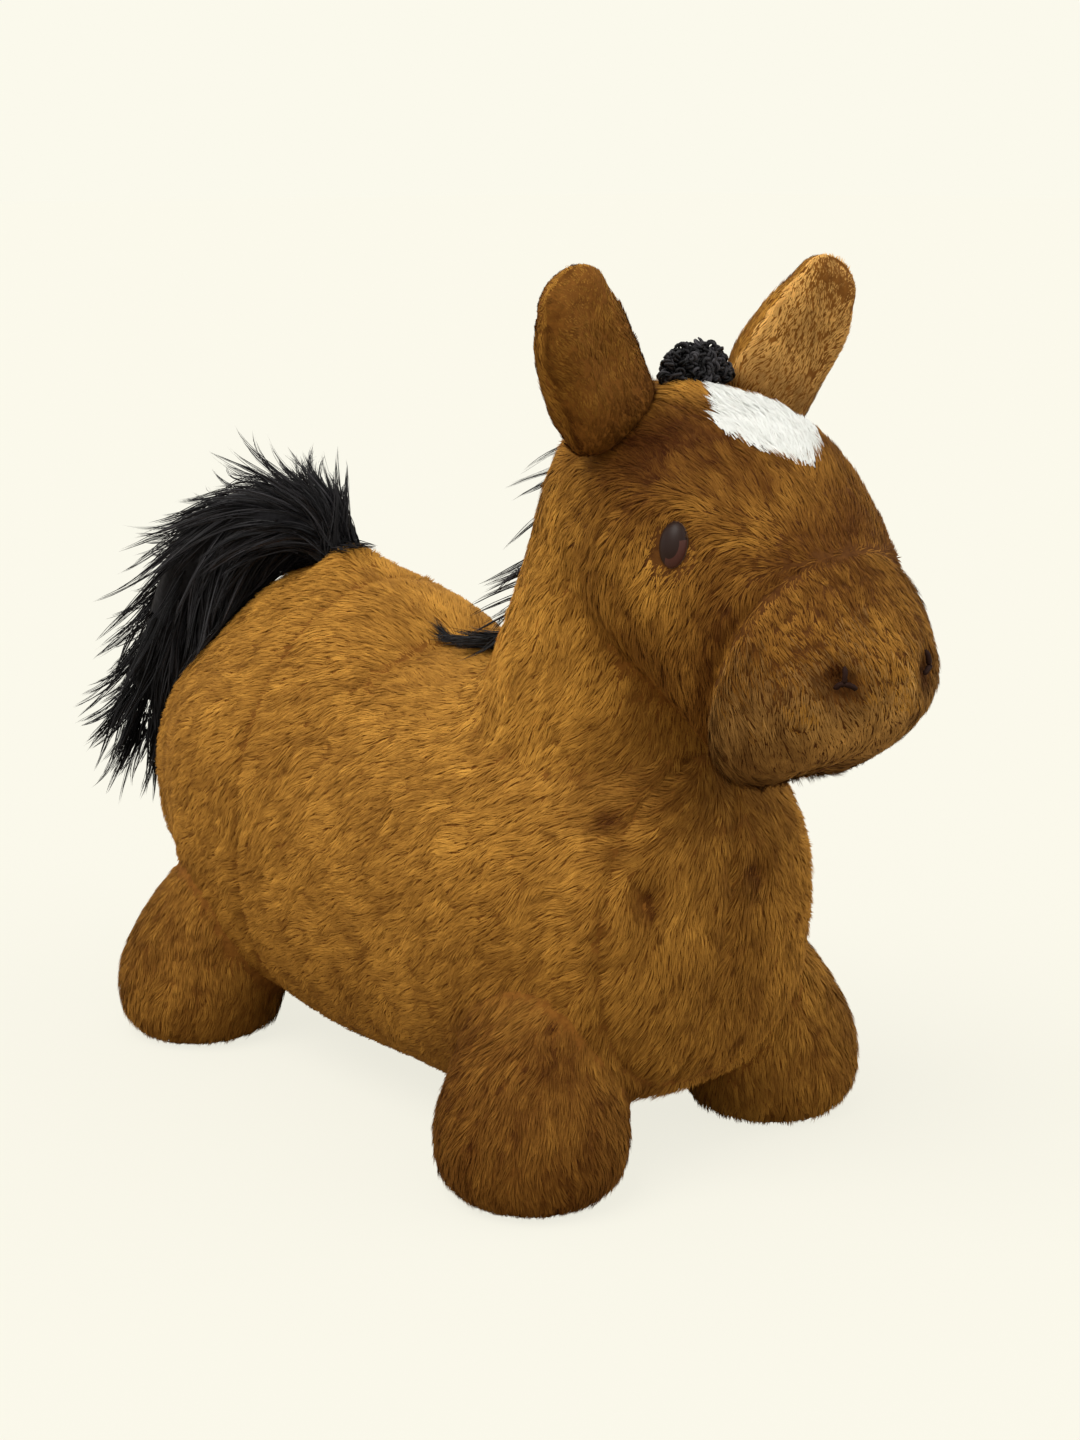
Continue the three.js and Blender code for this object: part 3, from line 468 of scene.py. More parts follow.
# Seams are drawn in: each point sinks by how near it lies to a seam
SEAM_DEPTHS = {"leg": 1.2, "muzzle": 2.0, "chest": 2.2, "rump": 1.8}
PLAIN_SEAM, SOFT_SEAM, SEAM_REACH = 0.8, 0.3, 4.5
seam_edges = [e for e in work.edges if len({f[panel_layer] for f in e.link_faces}) > 1]
seam_tree = KDTree(len(seam_edges))
seam_depth = []
for i, edge in enumerate(seam_edges):
    names = [panel_names[f[panel_layer]] for f in edge.link_faces]
    seam_tree.insert((edge.verts[0].co + edge.verts[1].co) / 2, i)
    soft = any(n.startswith(("neck", "forehead", "opening")) for n in names)
    seam_depth.append(SOFT_SEAM if soft else max(SEAM_DEPTHS.get(n.split("_")[0], PLAIN_SEAM) for n in names))
seam_tree.balance()
seam_depth = np.array(seam_depth)


def seams_near(points):
    """How far each point is from the nearest seam, and how deep that seam is."""
    found = [seam_tree.find(Vector(p * MM)) for p in points]
    return np.array([f[2] for f in found]) / MM, seam_depth[[f[1] for f in found]]


# The seam lines are evened out between their neighbours on the line
border = {}
for edge in seam_edges:
    a, b = edge.verts
    border.setdefault(a, []).append(b)
    border.setdefault(b, []).append(a)
for _ in range(6):
    middles = [(v, (near[0].co + near[1].co) / 2) for v, near in border.items() if len(near) == 2]
    for v, co in middles:
        v.co = v.co.lerp(co, 0.5)
work.normal_update()

# Dents in the pile and creases in the cover: place, how far they reach, how deep
DENTS = [
    (-38, -285, 345, 13, 7), (34, -287, 345, 13, 7), (-83, -194.5, 415, 13, 3), (83, -194.5, 415, 13, 3),
    (-79, -143, 244, 9, 4), (-66, -165, 198, 11, 4), (17, -175, 201, 10, 3), (-10, -174, 205, 9, 2),
    (-65, -145, 257, 5, 2), (-69, -149, 247, 5, 2), (-74, -154, 236, 5, 2), (-91, -151, 208, 6, 1.5),
    (-92, -150, 190, 6, 1.5), (-92, -149, 170, 6, 1.5), (-92, -149, 150, 6, 1.5),
]
# Broad swells, and hollows where the height is below zero
SWELLS = [
    (-88, 262, 298, 52, -8), (88, 262, 298, 52, -8), (-10, -244, 274, 40, -7.5), (-16, -134, 490, 20, 5),
]
points, normals = np.array([v.co for v in work.verts]) / MM, np.array([v.normal for v in work.verts])
gap, depth = seams_near(points)
sink = depth * falloff(gap, SEAM_REACH)
sink += bells(points, DENTS) - bells(points, SWELLS)
x, y, z = points.T
over = past_muzzle(points)
under_crest = (1 - 0.95 * smoothstep(0.1, 0.6, normals[:, 2])) * ((y < -190) & (z > 270))
sink += 3.0 * under_crest * falloff(over + 3.5, 5.0)
sink -= 4.0 * under_crest * smoothstep(0, 12, over) * (1 - smoothstep(18, 48, over))
sink -= 12.0 * falloff(x, 24) * falloff(y - 219, 17) * (z > 200)
for v, depth in zip(work.verts, sink):
    v.co -= v.normal * depth * MM
    v.co.z = max(v.co.z, 0.0012)

whole = bpy.data.meshes.new("whole_skin")
work.normal_update()
work.to_mesh(whole)
WHOLE = BVHTree.FromBMesh(work)


def nearest_skin(points):
    """The nearest points of the skin, and the ways out of it there."""
    found = [WHOLE.find_nearest(Vector(p * MM)) for p in points]
    return np.array([f[0] for f in found]) / MM, np.array([f[1] for f in found])


def rides(thing, body, slot, *nodes, fill=None):
    """The piece moves with a body and stands for CAD nodes, which are hidden; its slot is not used."""
    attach(thing, body)
    if nodes:
        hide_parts(*nodes)
    return thing


# The backing cloth of each panel
SLOT_OF = {
    name: "head_plush" if name.startswith(("cheek", "muzzle", "forehead")) else "body_plush"
    for name in panel_names
}
for index, name in enumerate(panel_names):
    if name == "opening":
        continue
    cut = work.copy()
    layer = cut.faces.layers.int["panel"]
    bmesh.ops.delete(cut, geom=[f for f in cut.faces if f[layer] != index], context="FACES")
    if name == "belly_panel":
        # The edge round the zip's slot and the valve's round hole is drawn up as a wall
        inner = [
            e for e in cut.edges if e.is_boundary and all(
                abs(v.co.x) < OPENING_REACH * MM and ZIP_FRONT - 1 < v.co.y / MM < VALVE_Y + OPENING_REACH
                for v in e.verts
            )
        ]
        for v in {v for e in inner for v in e.verts}:
            radius = math.hypot(v.co.x, v.co.y - VALVE_Y * MM)
            if v.co.y > VALVE_FROM * MM:
                v.co.x *= VALVE_HOLE * MM / radius
                v.co.y = VALVE_Y * MM + (v.co.y - VALVE_Y * MM) * VALVE_HOLE * MM / radius
        wall = bmesh.ops.extrude_edge_only(cut, edges=inner)["geom"]
        for v in (g for g in wall if isinstance(g, bmesh.types.BMVert)):
            v.co.z = (VALVE_TOP if v.co.y > VALVE_FROM * MM else ZIP_TOP) * MM
    mesh = bpy.data.meshes.new(f"plush_{name}")
    cut.to_mesh(mesh)
    cut.free()
    mesh.materials.append(base_head if SLOT_OF[name] == "head_plush" else base_body)
    mesh.shade_smooth()
    mesh.transform(Matrix.Translation(Vector(MOVE * MM)))
    rides(linked(f"plush_{name}", mesh), "body", SLOT_OF[name], f"cover_{name}")


# Fields over the skin that the pile follows
skin_points, skin_normals, triangles = mesh_arrays(whole)
triangle_face = read(whole.loop_triangles, "polygon_index", int, 1)[:, 0]
triangle_panel = read(whole.attributes["panel"].data, "value", int, 1)[triangle_face, 0]
form_weights = np.exp(-nearest_forms(skin_points) / 9.0)
form_weights /= form_weights.sum(1, keepdims=True)
on_head = form_weights[:, FORMS.index("head")]
seam_gap, seam_rank = seams_near(skin_points)
NOSE = np.array([0.0, -300.0, 350.0])
EYES = np.array([[-83.0, -194.5, 415.0], [83.0, -194.5, 415.0]])
NOSTRILS = np.array([[-37.0, -286.0, 345.0], [33.0, -288.0, 345.0]])


def turned_about(v, axis, angle):
    c, s = np.cos(angle)[:, None], np.sin(angle)[:, None]
    return v * c + np.cross(axis, v) * s + axis * (v * axis).sum(1, keepdims=True) * (1 - c)


def along_flat(v, normals):
    return v - normals * (v * normals).sum(1, keepdims=True)


def along_skin(v, normals):
    return unit(along_flat(v, normals))


def pile_way(p, normals, weights):
    """Which way the pile lies: back and down on the body, back from the nose on the head."""
    top = smoothstep(0.1, 0.7, normals[:, 2:3])
    beyond_seam = smoothstep(-2.0, 2.0, past_muzzle(p)[:, None])
    back_way = unit(p - NOSE) * top + np.array([0, 0.28, -1.0]) * (1 - top)
    nose_way = np.array([0, -0.5, -0.9]) + unit(p * [1, 0, 0]) * 0.15
    head_way = back_way * (1 - beyond_seam) + nose_way * beyond_seam
    ways = {
        "torso": np.tile([0.0, 0.78, -0.62], (len(p), 1)),
        "neck": np.tile([0.0, 0.5, -0.87], (len(p), 1)),
        "head": head_way,
        "leg": np.tile([0.0, 0.1, -1.0], (len(p), 1)),
    }
    total = np.zeros_like(p)
    for k, name in enumerate(FORMS):
        total += weights[:, k:k + 1] * unit(ways.get(name, ways["leg"]))
    total += np.array([0, 0.02, 0])
    way = along_skin(total, normals)
    bend = 0.22 * waves(p, 150, 11) + 0.22 * waves(p, 55, 12) + 0.16 * waves(p, 22, 13)
    return turned_about(way, normals, bend)


skin_way = pile_way(skin_points, skin_normals, form_weights)
skin_length = 11.0 + 0.6 * waves(skin_points, 60, 21)
skin_length *= 1 - 0.3 * on_head * smoothstep(-200, -270, skin_points[:, 1])
for eye in EYES:
    skin_length *= 0.35 + 0.65 * smoothstep(12, 26, apart(skin_points, eye))
for nostril in NOSTRILS:
    skin_length *= 0.6 + 0.4 * smoothstep(5, 15, apart(skin_points, nostril))
skin_length *= 1 - 0.45 * falloff(seam_gap, 3.0) * np.minimum(seam_rank / 2.2, 1)
# Painted shade in the dents, the nostril dimples and round the eyes.
dent_marks = [(*place, reach * 0.8, min(depth / 3, 1.3)) for *place, reach, depth in DENTS]
painted_dent_shade = bells(skin_points, dent_marks)
# How light the pile is on each form, then on patches: place, reach, change. The legs differ from each other
# only by painted shade and painted light.
FORM_SHADES_WITH_PAINTED_SHADE = {
    "torso": 0.65, "neck": 0.72, "head": 0.41,
    "leg_front_right": 0.35, "leg_front_left": 0.50, "leg_rear_right": 0.48, "leg_rear_left": 0.42,
}
skin_shade = form_weights @ np.array([FORM_SHADES_WITH_PAINTED_SHADE[name] for name in FORMS])
# Some patches are the pile's own marks, such as the golden band by the star; the others are painted shade and
# painted light: darker in the nostril dimples, the small dents and creases, under the jaw, on the chest, the
# belly and the lower flank, and lighter on the top of the back and the upper flank.
PATCHES_OF_TONE_AND_PAINTED_LIGHT = [
    (0, -175, 120, 70, -0.14), (20, -170, 255, 50, -0.26), (-40, -142, 285, 34, -0.12),
    (-52, -165, 470, 30, -0.16), (52, -165, 470, 30, -0.16), (-60, -135, 462, 24, -0.08),
    (0, -142, 492, 20, 0.26), (-23, -148, 489, 15, 0.42), (-54, -172, 466, 24, -0.16),
    (-74, -158, 448, 26, -0.12), (0, -262, 405, 30, -0.08), (-30, -290, 320, 50, 0.25),
    (30, -290, 330, 46, 0.26), (-20, -248, 280, 36, 0.16), (-38, -285, 345, 15, -0.42),
    (34, -287, 345, 15, -0.42), (-70, -142, 262, 34, -0.16), (-90, -165, 392, 34, 0.08),
    (-73, -139, 241, 9, -0.3), (-65, -164, 198, 10, -0.3), (17, -175, 199, 10, -0.22),
    (-75, -152, 222, 6, -0.16), (-80, -110, 420, 42, 0.18), (80, -110, 420, 42, 0.18),
    (-83, -192, 385, 18, 0.12), (-81, -218, 364, 22, -0.08), (0, 100, 30, 130, -0.08),
    (-85, -190, 395, 40, 0.08), (0, 200, 350, 70, 0.06), (-60, -20, 330, 70, 0.06),
    (-125, -60, 75, 50, -0.10), (60, -150, 120, 60, 0.10), (-130, -118, 92, 26, 0.08),
    (-120, -130, 100, 14, -0.12),
]
skin_shade += bells(skin_points, PATCHES_OF_TONE_AND_PAINTED_LIGHT)
muzzle_over = past_muzzle(skin_points)
at_side = 1 - 0.7 * smoothstep(0.25, 0.8, skin_normals[:, 2])
# Painted shade in the groove along the muzzle's seam, on the cheeks' side and mostly low on the sides; then
# lighter hairs along the seam itself.
skin_shade -= 0.14 * on_head * at_side * falloff(muzzle_over + 8, 7)
skin_shade += 0.12 * on_head * falloff(muzzle_over - 1.5, 2.5)
skin_shade += 0.03 * waves(skin_points, 90, 31) + 0.035 * waves(skin_points, 32, 32)
# Painted shade in the dents and in the seam grooves.
skin_shade -= 0.22 * painted_dent_shade + 0.2 * falloff(seam_gap, 2.8) * np.minimum(seam_rank / 1.8, 1)


# The star: its outline lies in a plane across the forehead
STAR_Y, STAR_HALF, STAR_UP, STAR_LOW, STAR_DEEP, STAR_ASIDE = -188.0, 36.0, 50.0, 40.0, 30.0, 4.0
star_hit = WHOLE.ray_cast(Vector((0, STAR_Y * MM, 1)), Vector((0, 0, -1)))
star_centre, star_normal = np.array(star_hit[0]) / MM, unit(np.array(star_hit[1]))
star_rise = unit(np.cross(star_normal, X_AXIS))
star_centre = star_centre + (X_AXIS + star_rise) * STAR_ASIDE


def quadratic(a, b, c, count=10):
    t = np.linspace(0, 1, count, endpoint=False)[:, None]
    return (1 - t) ** 2 * np.array(a) + 2 * t * (1 - t) * np.array(b) + t**2 * np.array(c)


corners = [(0, -STAR_LOW), (STAR_HALF, 0), (0, STAR_UP), (-STAR_HALF, 0)]
low_bend, high_bend = (STAR_HALF * 0.9, -STAR_LOW * 0.7), (STAR_HALF * 0.5, STAR_UP * 0.5)
bends = [low_bend, high_bend, (-high_bend[0], high_bend[1]), (-low_bend[0], low_bend[1])]
star_outline = np.vstack([quadratic(*pull) for pull in zip(corners, bends, corners[1:] + corners[:1])])


def in_star(p, spread=0.0):
    """Which points lie inside the star's outline, with its edge moved by a seeded spread."""
    scale = 1 + spread / STAR_LOW
    u, w = (p - star_centre) @ X_AXIS / scale, (p - star_centre) @ star_rise / scale
    inside = np.zeros(len(p), bool)
    for (x0, y0), (x1, y1) in zip(star_outline, np.roll(star_outline, -1, axis=0)):
        with np.errstate(divide="ignore", invalid="ignore"):
            at = (x1 - x0) * (w - y0) / (y1 - y0) + x0
        inside ^= ((y0 > w) != (y1 > w)) & (u < at)
    return inside & ((p @ star_normal) > star_centre @ star_normal - STAR_DEEP)


def blades(name, lines, half, side, tone, materials, darker=1, facing=None):
    """Flat tapering strands, one along each line of points, as one mesh."""
    count, k, _ = lines.shape
    per = 2 * (k - 1) + 1
    co = np.empty((count, per, 3))
    co[:, 0:-1:2] = lines[:, :-1] - side * half[:, :, None]
    co[:, 1::2] = lines[:, :-1] + side * half[:, :, None]
    co[:, -1] = lines[:, -1]
    co[:, :, 2] = np.maximum(co[:, :, 2], 0.3)
    co = (co + MOVE) * MM
    # Each strand is a run of quads that ends in one triangle
    one = [i for s in range(0, per - 3, 2) for i in (s + 1, s, s + 2, s + 3)] + [per - 2, per - 3, per - 1]
    row = np.arange(count)[:, None]
    loops = (row * per + one).ravel()
    starts = (row * len(one) + 4 * np.arange(k - 1)).ravel()
    # The root segment takes a darker shade: darker roots, and painted shade in the gaps between locks.
    shades = np.clip(tone[:, None] - darker * (np.arange(k - 1) < 1), 0, len(materials) - 1)
    mesh = bpy.data.meshes.new(name)
    mesh.vertices.add(count * per)
    mesh.loops.add(len(loops))
    mesh.polygons.add(len(starts))
    mesh.vertices.foreach_set("co", co.ravel())
    mesh.loops.foreach_set("vertex_index", loops)
    mesh.polygons.foreach_set("loop_start", starts)
    for material in materials:
        mesh.materials.append(material)
    mesh.polygons.foreach_set("material_index", shades.ravel().astype(np.int32))
    mesh.polygons.foreach_set("use_smooth", np.ones(len(starts), bool))
    mesh.update(calc_edges=True)
    if facing is not None:
        mesh.normals_split_custom_set_from_vertices(np.repeat(facing, per, axis=0))
    return linked(name, mesh)


BLADE_SPACING, LOCK_SPACING = (1.3), 3.8
TAIL_OFF, ROOT_OFF, LOW_ROOT_OFF, MANE_OFF, ROOT_DRAW = 5.0, 3.0, 0.5, 3.5, 3.0
TUFT_ROUND, LOCK_TONE, BLADE_TONE = 0.05, 0.03, 0.015
FUR_LIFT, FUR_GATHER, FUR_SPREAD, FUR_BEND, FUR_HALF = 0.22, 0.35, 0.11, 0.5, 0.42
rng = np.random.default_rng(7)


def turns(count):
    return rng.uniform(0, 2 * math.pi, count)


def scatter(tris, points, spacing, *fields):
    """Seeded roots over triangles, and each field's value there."""
    a, b, c = (points[tris[:, k]] for k in range(3))
    area = np.linalg.norm(np.cross(b - a, c - a), axis=1) / 2
    count = int(area.sum() / spacing**2)
    chosen = np.searchsorted(np.cumsum(area) / area.sum(), (np.arange(count) + rng.random(count)) / count)
    chosen = np.minimum(chosen, len(tris) - 1)
    u, v = rng.random(count), rng.random(count)
    flip = u + v > 1
    u[flip], v[flip] = 1 - u[flip], 1 - v[flip]
    share = np.stack([1 - u - v, u, v], axis=1)
    return chosen, [np.einsum("nk,nk...->n...", share, field[tris[chosen]]) for field in (points, *fields)]


def lock_of(roots):
    """The nearest of an evenly thinned choice of roots, for every root."""
    step = max(int((LOCK_SPACING / BLADE_SPACING) ** 2), 1)
    heads = rng.permutation(len(roots))[: max(len(roots) // step, 1)]
    tree = KDTree(len(heads))
    for i, h in enumerate(heads):
        tree.insert(Vector(roots[h]), i)
    tree.balance()
    return heads, np.array([tree.find(Vector(p))[1] for p in roots])


def fur(name, roots, normals, way, length, shade, materials, darker=1):
    """Strands that gather in small locks and bend over along the pile's way."""
    heads, lock = lock_of(roots)
    count = len(roots)
    lock_turn = rng.normal(0, FUR_SPREAD, len(heads))[lock]
    lock_lift = np.clip(rng.normal(FUR_LIFT, 0.05, len(heads)), 0.1, 0.9)[lock]
    lock_long = rng.normal(1, 0.1, len(heads))[lock]
    way = turned_about(way, normals, lock_turn + rng.normal(0, 0.07, count))
    long = length * lock_long * rng.uniform(0.82, 1.1, count)
    pull = along_flat(roots[heads][lock] - roots, normals)
    # Each lock is shaded as a small rounded tuft
    lock_face = normals[heads][lock] * 0.5 + rng.normal(0, 0.08, (len(heads), 3))[lock]
    facing = unit(normals - pull * TUFT_ROUND + lock_face)
    lift = np.clip(lock_lift + rng.normal(0, 0.03, count), 0.08, 1.0)
    lines = np.stack([
        roots - normals * 0.4 + way * (long * s * (0.75 + 0.25 * s))[:, None]
        + normals * (long * lift * s * (1 - FUR_BEND * s) * 1.3)[:, None] + pull * FUR_GATHER * s**1.5
        for s in (0, 0.5, 1)
    ], axis=1)
    twist = rng.normal(0, 0.2, count)[:, None]
    side = unit(np.cross(normals, way) * np.cos(twist) + normals * np.sin(twist))
    widths = rng.uniform(0.75, 1.2, count)[:, None] * FUR_HALF * np.array([1, 0.75])
    lock_shade = (0.5 * shade[heads] + rng.normal(0, LOCK_TONE, len(heads)))[lock]
    value = 0.5 * shade + lock_shade + rng.normal(0, BLADE_TONE, count)
    tone = np.clip(np.round(value * (len(materials) - 1)), 0, len(materials) - 1).astype(int)
    return blades(name, lines, widths, np.repeat(side[:, None], 2, axis=1), tone, materials, darker, facing)


def drawn_out(p, way, length, reach, seed):
    """A seeded field whose marks are drawn out along a way."""
    return sum(waves(p + way * t, length, seed) for t in np.linspace(-reach, reach, 7)) / 4.2


chosen, (roots, root_normals, root_way, root_length, root_shade) = scatter(
    triangles, skin_points, BLADE_SPACING, skin_normals, skin_way, skin_length, skin_shade,
)
root_normals, root_panel = unit(root_normals), triangle_panel[chosen]
root_way = along_skin(root_way, root_normals)
# Streaks that run along the pile's way, and small pits across it where it parts; the pits are shortened and
# darkened with painted shadow, as if each lock's tip shaded the next.
root_across = np.cross(root_normals, root_way)
root_shade += 0.05 * drawn_out(roots, root_way, 8, 8, 33) + 0.045 * drawn_out(roots, root_way, 18, 9, 36)
pits = smoothstep(1.2, 1.9, drawn_out(roots, root_across, 17, 4, 34))
pits = np.maximum(pits, smoothstep(1.3, 2.0, drawn_out(roots, root_across, 12, 3, 35)))
# Painted shadow in the pits.
root_shade -= 0.16 * pits
root_length *= 1 - 0.35 * pits
keep = root_panel != panel_names.index("opening")
for eye in EYES:
    keep &= np.linalg.norm((roots - eye) * [1, 1.1, 0.92], axis=1) > 11.5
white = in_star(roots, rng.normal(2.5, 1.0, len(roots)))
dusty = rng.random(len(roots)) < smoothstep(385, 310, roots[:, 2] + 10 * waves(roots, 40, 37))
for index, name in enumerate(panel_names):
    if name == "opening":
        continue
    pick = keep & (root_panel == index) & ~white
    parts = [("", pick, brown_pile)]
    if name == "muzzle":
        parts = [("", pick & ~dusty, brown_pile), ("_dusty", pick & dusty, dusty_pile_and_painted_light)]
    for ending, pick, pile in parts:
        fields = (field[pick] for field in (roots, root_normals, root_way, root_length, root_shade))
        rides(fur(f"pile_{name}{ending}", *fields, pile), "body", SLOT_OF[name])
pick = keep & white
STAR_LIFT, STAR_TONE = 0.9, 0.85
star = fur(
    "star_pile", roots[pick] + root_normals[pick] * STAR_LIFT, root_normals[pick], root_way[pick],
    root_length[pick] * 0.8, np.full(int(pick.sum()), STAR_TONE), white_pile, darker=0,
)
rides(star, "body", "white_plush")
star_faces = triangles[in_star(skin_points[triangles].mean(1))]
ids, star_index = np.unique(star_faces, return_inverse=True)
star_points = skin_points[ids] + skin_normals[ids] * STAR_LIFT
star_cloth = new_object("star_cloth", star_points, star_index.reshape(-1, 3), [base_white])
rides(star_cloth, "body", "white_plush", "star_patch")


# Ears: two sewn panels round a filling, on their hinge lines
def joint_point(name):
    return np.array(JOINTS[name]["pos_m"]) / MM - MOVE


EAR_TILT, EAR_HEIGHT, EAR_TIP_CAP = 0.57, 86.0, 20.0
EAR_HIGH, EAR_BULGE, EAR_OUT, EAR_FORWARD = 0.6, 2.0, 40.0, 12.0
EAR_WIDTHS, EAR_DEPTHS = [36, 37, 34, 27], [20, 22, 20, 16]
EAR_SKIN, EAR_LINING, EAR_CAPS, EAR_FILL = 1.8, 7.5, (20, 20), 0.7
# How light each ear panel's pile is; the left ear is lighter than the right only by painted light.
EAR_SHADES_WITH_PAINTED_LIGHT = {"right_front": 0.53, "right_back": 0.53, "left_front": 0.9, "left_back": 0.62}


def face_edges(faces):
    return np.array([(a, b) for face in faces for a, b in zip(face, (*face[1:], face[0])) if a < b])


for side, word in SIDES:
    ear = f"ear_{word}"
    root = joint_point(f"{ear}_flex")
    outward = np.array([side * math.sin(EAR_TILT), 0, math.cos(EAR_TILT)])
    hinge = np.array([math.cos(EAR_TILT), 0, -side * math.sin(EAR_TILT)])
    tip = root + np.array([side * EAR_OUT, -EAR_FORWARD, EAR_HEIGHT - EAR_TIP_CAP])
    low = root + outward * EAR_HEIGHT / 4
    high = low + (tip - low) * EAR_HIGH + np.array([side * EAR_BULGE, 0, 0])
    spine, rise = np.array([root, low, high, tip]), tip - root
    up, ear_length = unit(rise), np.linalg.norm(rise)
    front_way = unit(np.cross(hinge, outward))
    front_way = front_way if front_way[1] < 0 else -front_way
    lean = rise @ front_way / (rise @ outward)

    def before_edge(p):
        """How far points stand in front of the ear's edge seam."""
        return (p - root) @ front_way - lean * np.maximum((p - root) @ outward, 0)

    shape = (spine, EAR_WIDTHS, EAR_DEPTHS, EAR_CAPS, hinge)
    co, f = form(*shape, sides=64, steps=36, grow=-EAR_SKIN)
    co = relax(co, face_edges(f), 0.5 * smoothstep(0.7, 1.0, (co - root) @ up / ear_length), 14)
    # The front panel is pressed in along its middle, so that the ear is cupped
    up_along = (co - root) @ outward
    across_share = np.abs((co - root) @ hinge - (rise @ hinge) * np.clip(up_along, 0, None) / EAR_HEIGHT)
    cup = 5.0 * falloff(across_share, 16) * smoothstep(8, 30, up_along)
    co = co - front_way * (cup * smoothstep(0, 8, before_edge(co)))[:, None]
    in_front = before_edge(np.array([co[list(face)].mean(0) for face in f])) >= 0
    filling_co, filling_f = form(*shape, sides=32, steps=16, grow=-EAR_SKIN - EAR_LINING)
    filling = new_object(f"{ear}_stuffing", filling_co, filling_f, [base_white])
    rides(filling, ear, "filling", f"{ear}_filling", fill=EAR_FILL)
    for panel, picked in (("front", in_front), ("back", ~in_front)):
        used = [face for face, good in zip(f, picked) if good]
        ids = sorted({i for face in used for i in face})
        back = {i: k for k, i in enumerate(ids)}
        used = [[back[i] for i in face] for face in used]
        cloth = new_object(f"plush_{ear}_{panel}", co[ids], used, [base_body])
        rides(cloth, ear, "body_plush", f"{ear}_{panel}_panel", fill=EAR_FILL)
        points, normals, tris = mesh_arrays(cloth.data)
        points = points - MOVE
        from_root, rim = points - root, np.abs(before_edge(points))
        outwards = unit(points - (high + (tip - high) * 0.3))
        near_tip = smoothstep(0.7, 1.1, from_root @ up / ear_length)[:, None]
        way = up * (1 - 0.75 * near_tip) + 0.5 * outwards * near_tip + 0.12 * hinge * side
        way = along_skin(way, normals)
        way = turned_about(way, normals, 0.25 * waves(points, 60, 41 + side) + 0.2 * waves(points, 22, 42))
        shade = EAR_SHADES_WITH_PAINTED_LIGHT[f"{word}_{panel}"] + 0.03 * waves(points, 30, 44) + 0.04 * waves(points, 14, 45)
        # Painted highlight along the ear's rim, and painted shade near its root.
        shade += 0.13 * falloff(rim, 3.5) - 0.16 * (1 - smoothstep(2, 26, from_root @ outward))
        long = 7.0 - 3.2 * near_tip[:, 0]
        if panel == "front":
            # Painted shade in the crease along the edge seam, deepest on the outer side, and over the cupped
            # middle of the front panel.
            outer_side = smoothstep(0, 14, from_root @ hinge * side)
            shade -= (0.06 + 0.22 * outer_side) * falloff(rim - 5.0, 1.8)
            shade -= 0.08 * smoothstep(4, 12, rim)
            long = long - 1.5 * smoothstep(3, 12, rim)
        _, (r, n, w, length, s) = scatter(tris, points, BLADE_SPACING * 0.95, normals, way, long, shade)
        clear = (r - root) @ outward > -12
        n = unit(n)
        # The left ear's front takes the greyer pile as painted light.
        pile = dusty_pile_and_painted_light if (word, panel) == ("left", "front") else brown_pile
        fields = (field[clear] for field in (r, n, along_skin(w, n), length, s))
        rides(fur(f"pile_{ear}_{panel}", *fields, pile), ear, "body_plush")


# Tail: long black pile on a sewn root
tail_root = joint_point("tail_lift")
# From the root: aside, behind, above, half width, half depth
TAIL = [
    (0, 0, 0, 20, 15), (-8, 24, 20, 36, 26), (-28, 72, 18, 44, 34), (-48, 116, -28, 42, 30),
    (-68, 146, -108, 38, 28), (-84, 158, -178, 20, 16),
]
tail_rows = np.array(TAIL, float)
tail_spine = tail_root + tail_rows[:, :3]


def tail_frames(t):
    """The tail's middle line at shares t of the way along it, its run, the ways across, and its sizes."""
    before, after = (spline(tail_spine, np.clip(t + step, 0, 1)) for step in (-CURVE_STEP, CURVE_STEP))
    tangent = unit(after - before)
    side = unit(X_AXIS - tangent * (tangent @ X_AXIS)[:, None])
    return spline(tail_spine, t), tangent, side, np.cross(tangent, side), spline(tail_rows[:, 3:], t)


def tufted(centres, per, reach):
    """Strands round each tuft's line that draw together at its tip, each with its own length."""
    count, steps = len(centres) * per, centres.shape[1]
    tuft = np.repeat(np.arange(len(centres)), per)
    run = unit(np.gradient(centres, axis=1))
    face = unit(np.cross(run, np.array([0.36, 0.48, 0.80])))
    other = np.cross(run, face)
    share = np.linspace(0, 1, steps)
    at = share * rng.uniform(0.7, 1.0, count)[:, None] * (steps - 1)
    low = np.minimum(at.astype(int), steps - 2)
    part = (at - low)[..., None]
    row = tuft[:, None]
    lines = centres[row, low] * (1 - part) + centres[row, low + 1] * part
    angle = turns(count)[:, None, None]
    radius = (reach * np.sqrt(rng.uniform(0, 1, count)))[:, None] * (1 - share * 0.92) ** 0.8
    wave = 0.5 * np.sin(turns(count)[:, None] + share * 9.0)
    offset = face[row, low] * np.cos(angle) + other[row, low] * np.sin(angle)
    return lines + offset * (radius + wave * share)[..., None]


def eased_back(lines):
    """The tips draw back as they near the farthest that the pile may stand behind the tail."""
    y = lines[..., 1]
    start = TAIL_LIMIT - TAIL_EASE
    past = np.maximum(y - start, 0)
    lines[..., 1] = np.where(y > start, start + TAIL_EASE * (1 - np.exp(-past / TAIL_EASE)), y)
    return lines


def kept_off(p, least, draw=0.0):
    """Points pushed out to a least height over the cover, or drawn towards it, and the way out there."""
    at, out = nearest_skin(p)
    gap = ((p - at) * out).sum(1)
    return p + out * (np.maximum(least - gap, 0) - np.clip(gap - least - 2, 0, draw))[:, None], out


def grown(p, long, steps, heading, least, draw=0.0, out=None):
    """Lines that grow from points, each step along a heading, and stay off the cover."""
    lines = [p]
    for s in np.linspace(0, 1, steps)[1:]:
        way = unit(heading(s, out))
        p, out = kept_off(p + way * (long / (steps - 1))[:, None], least, draw)
        lines.append(p)
    return np.stack(lines, axis=1)


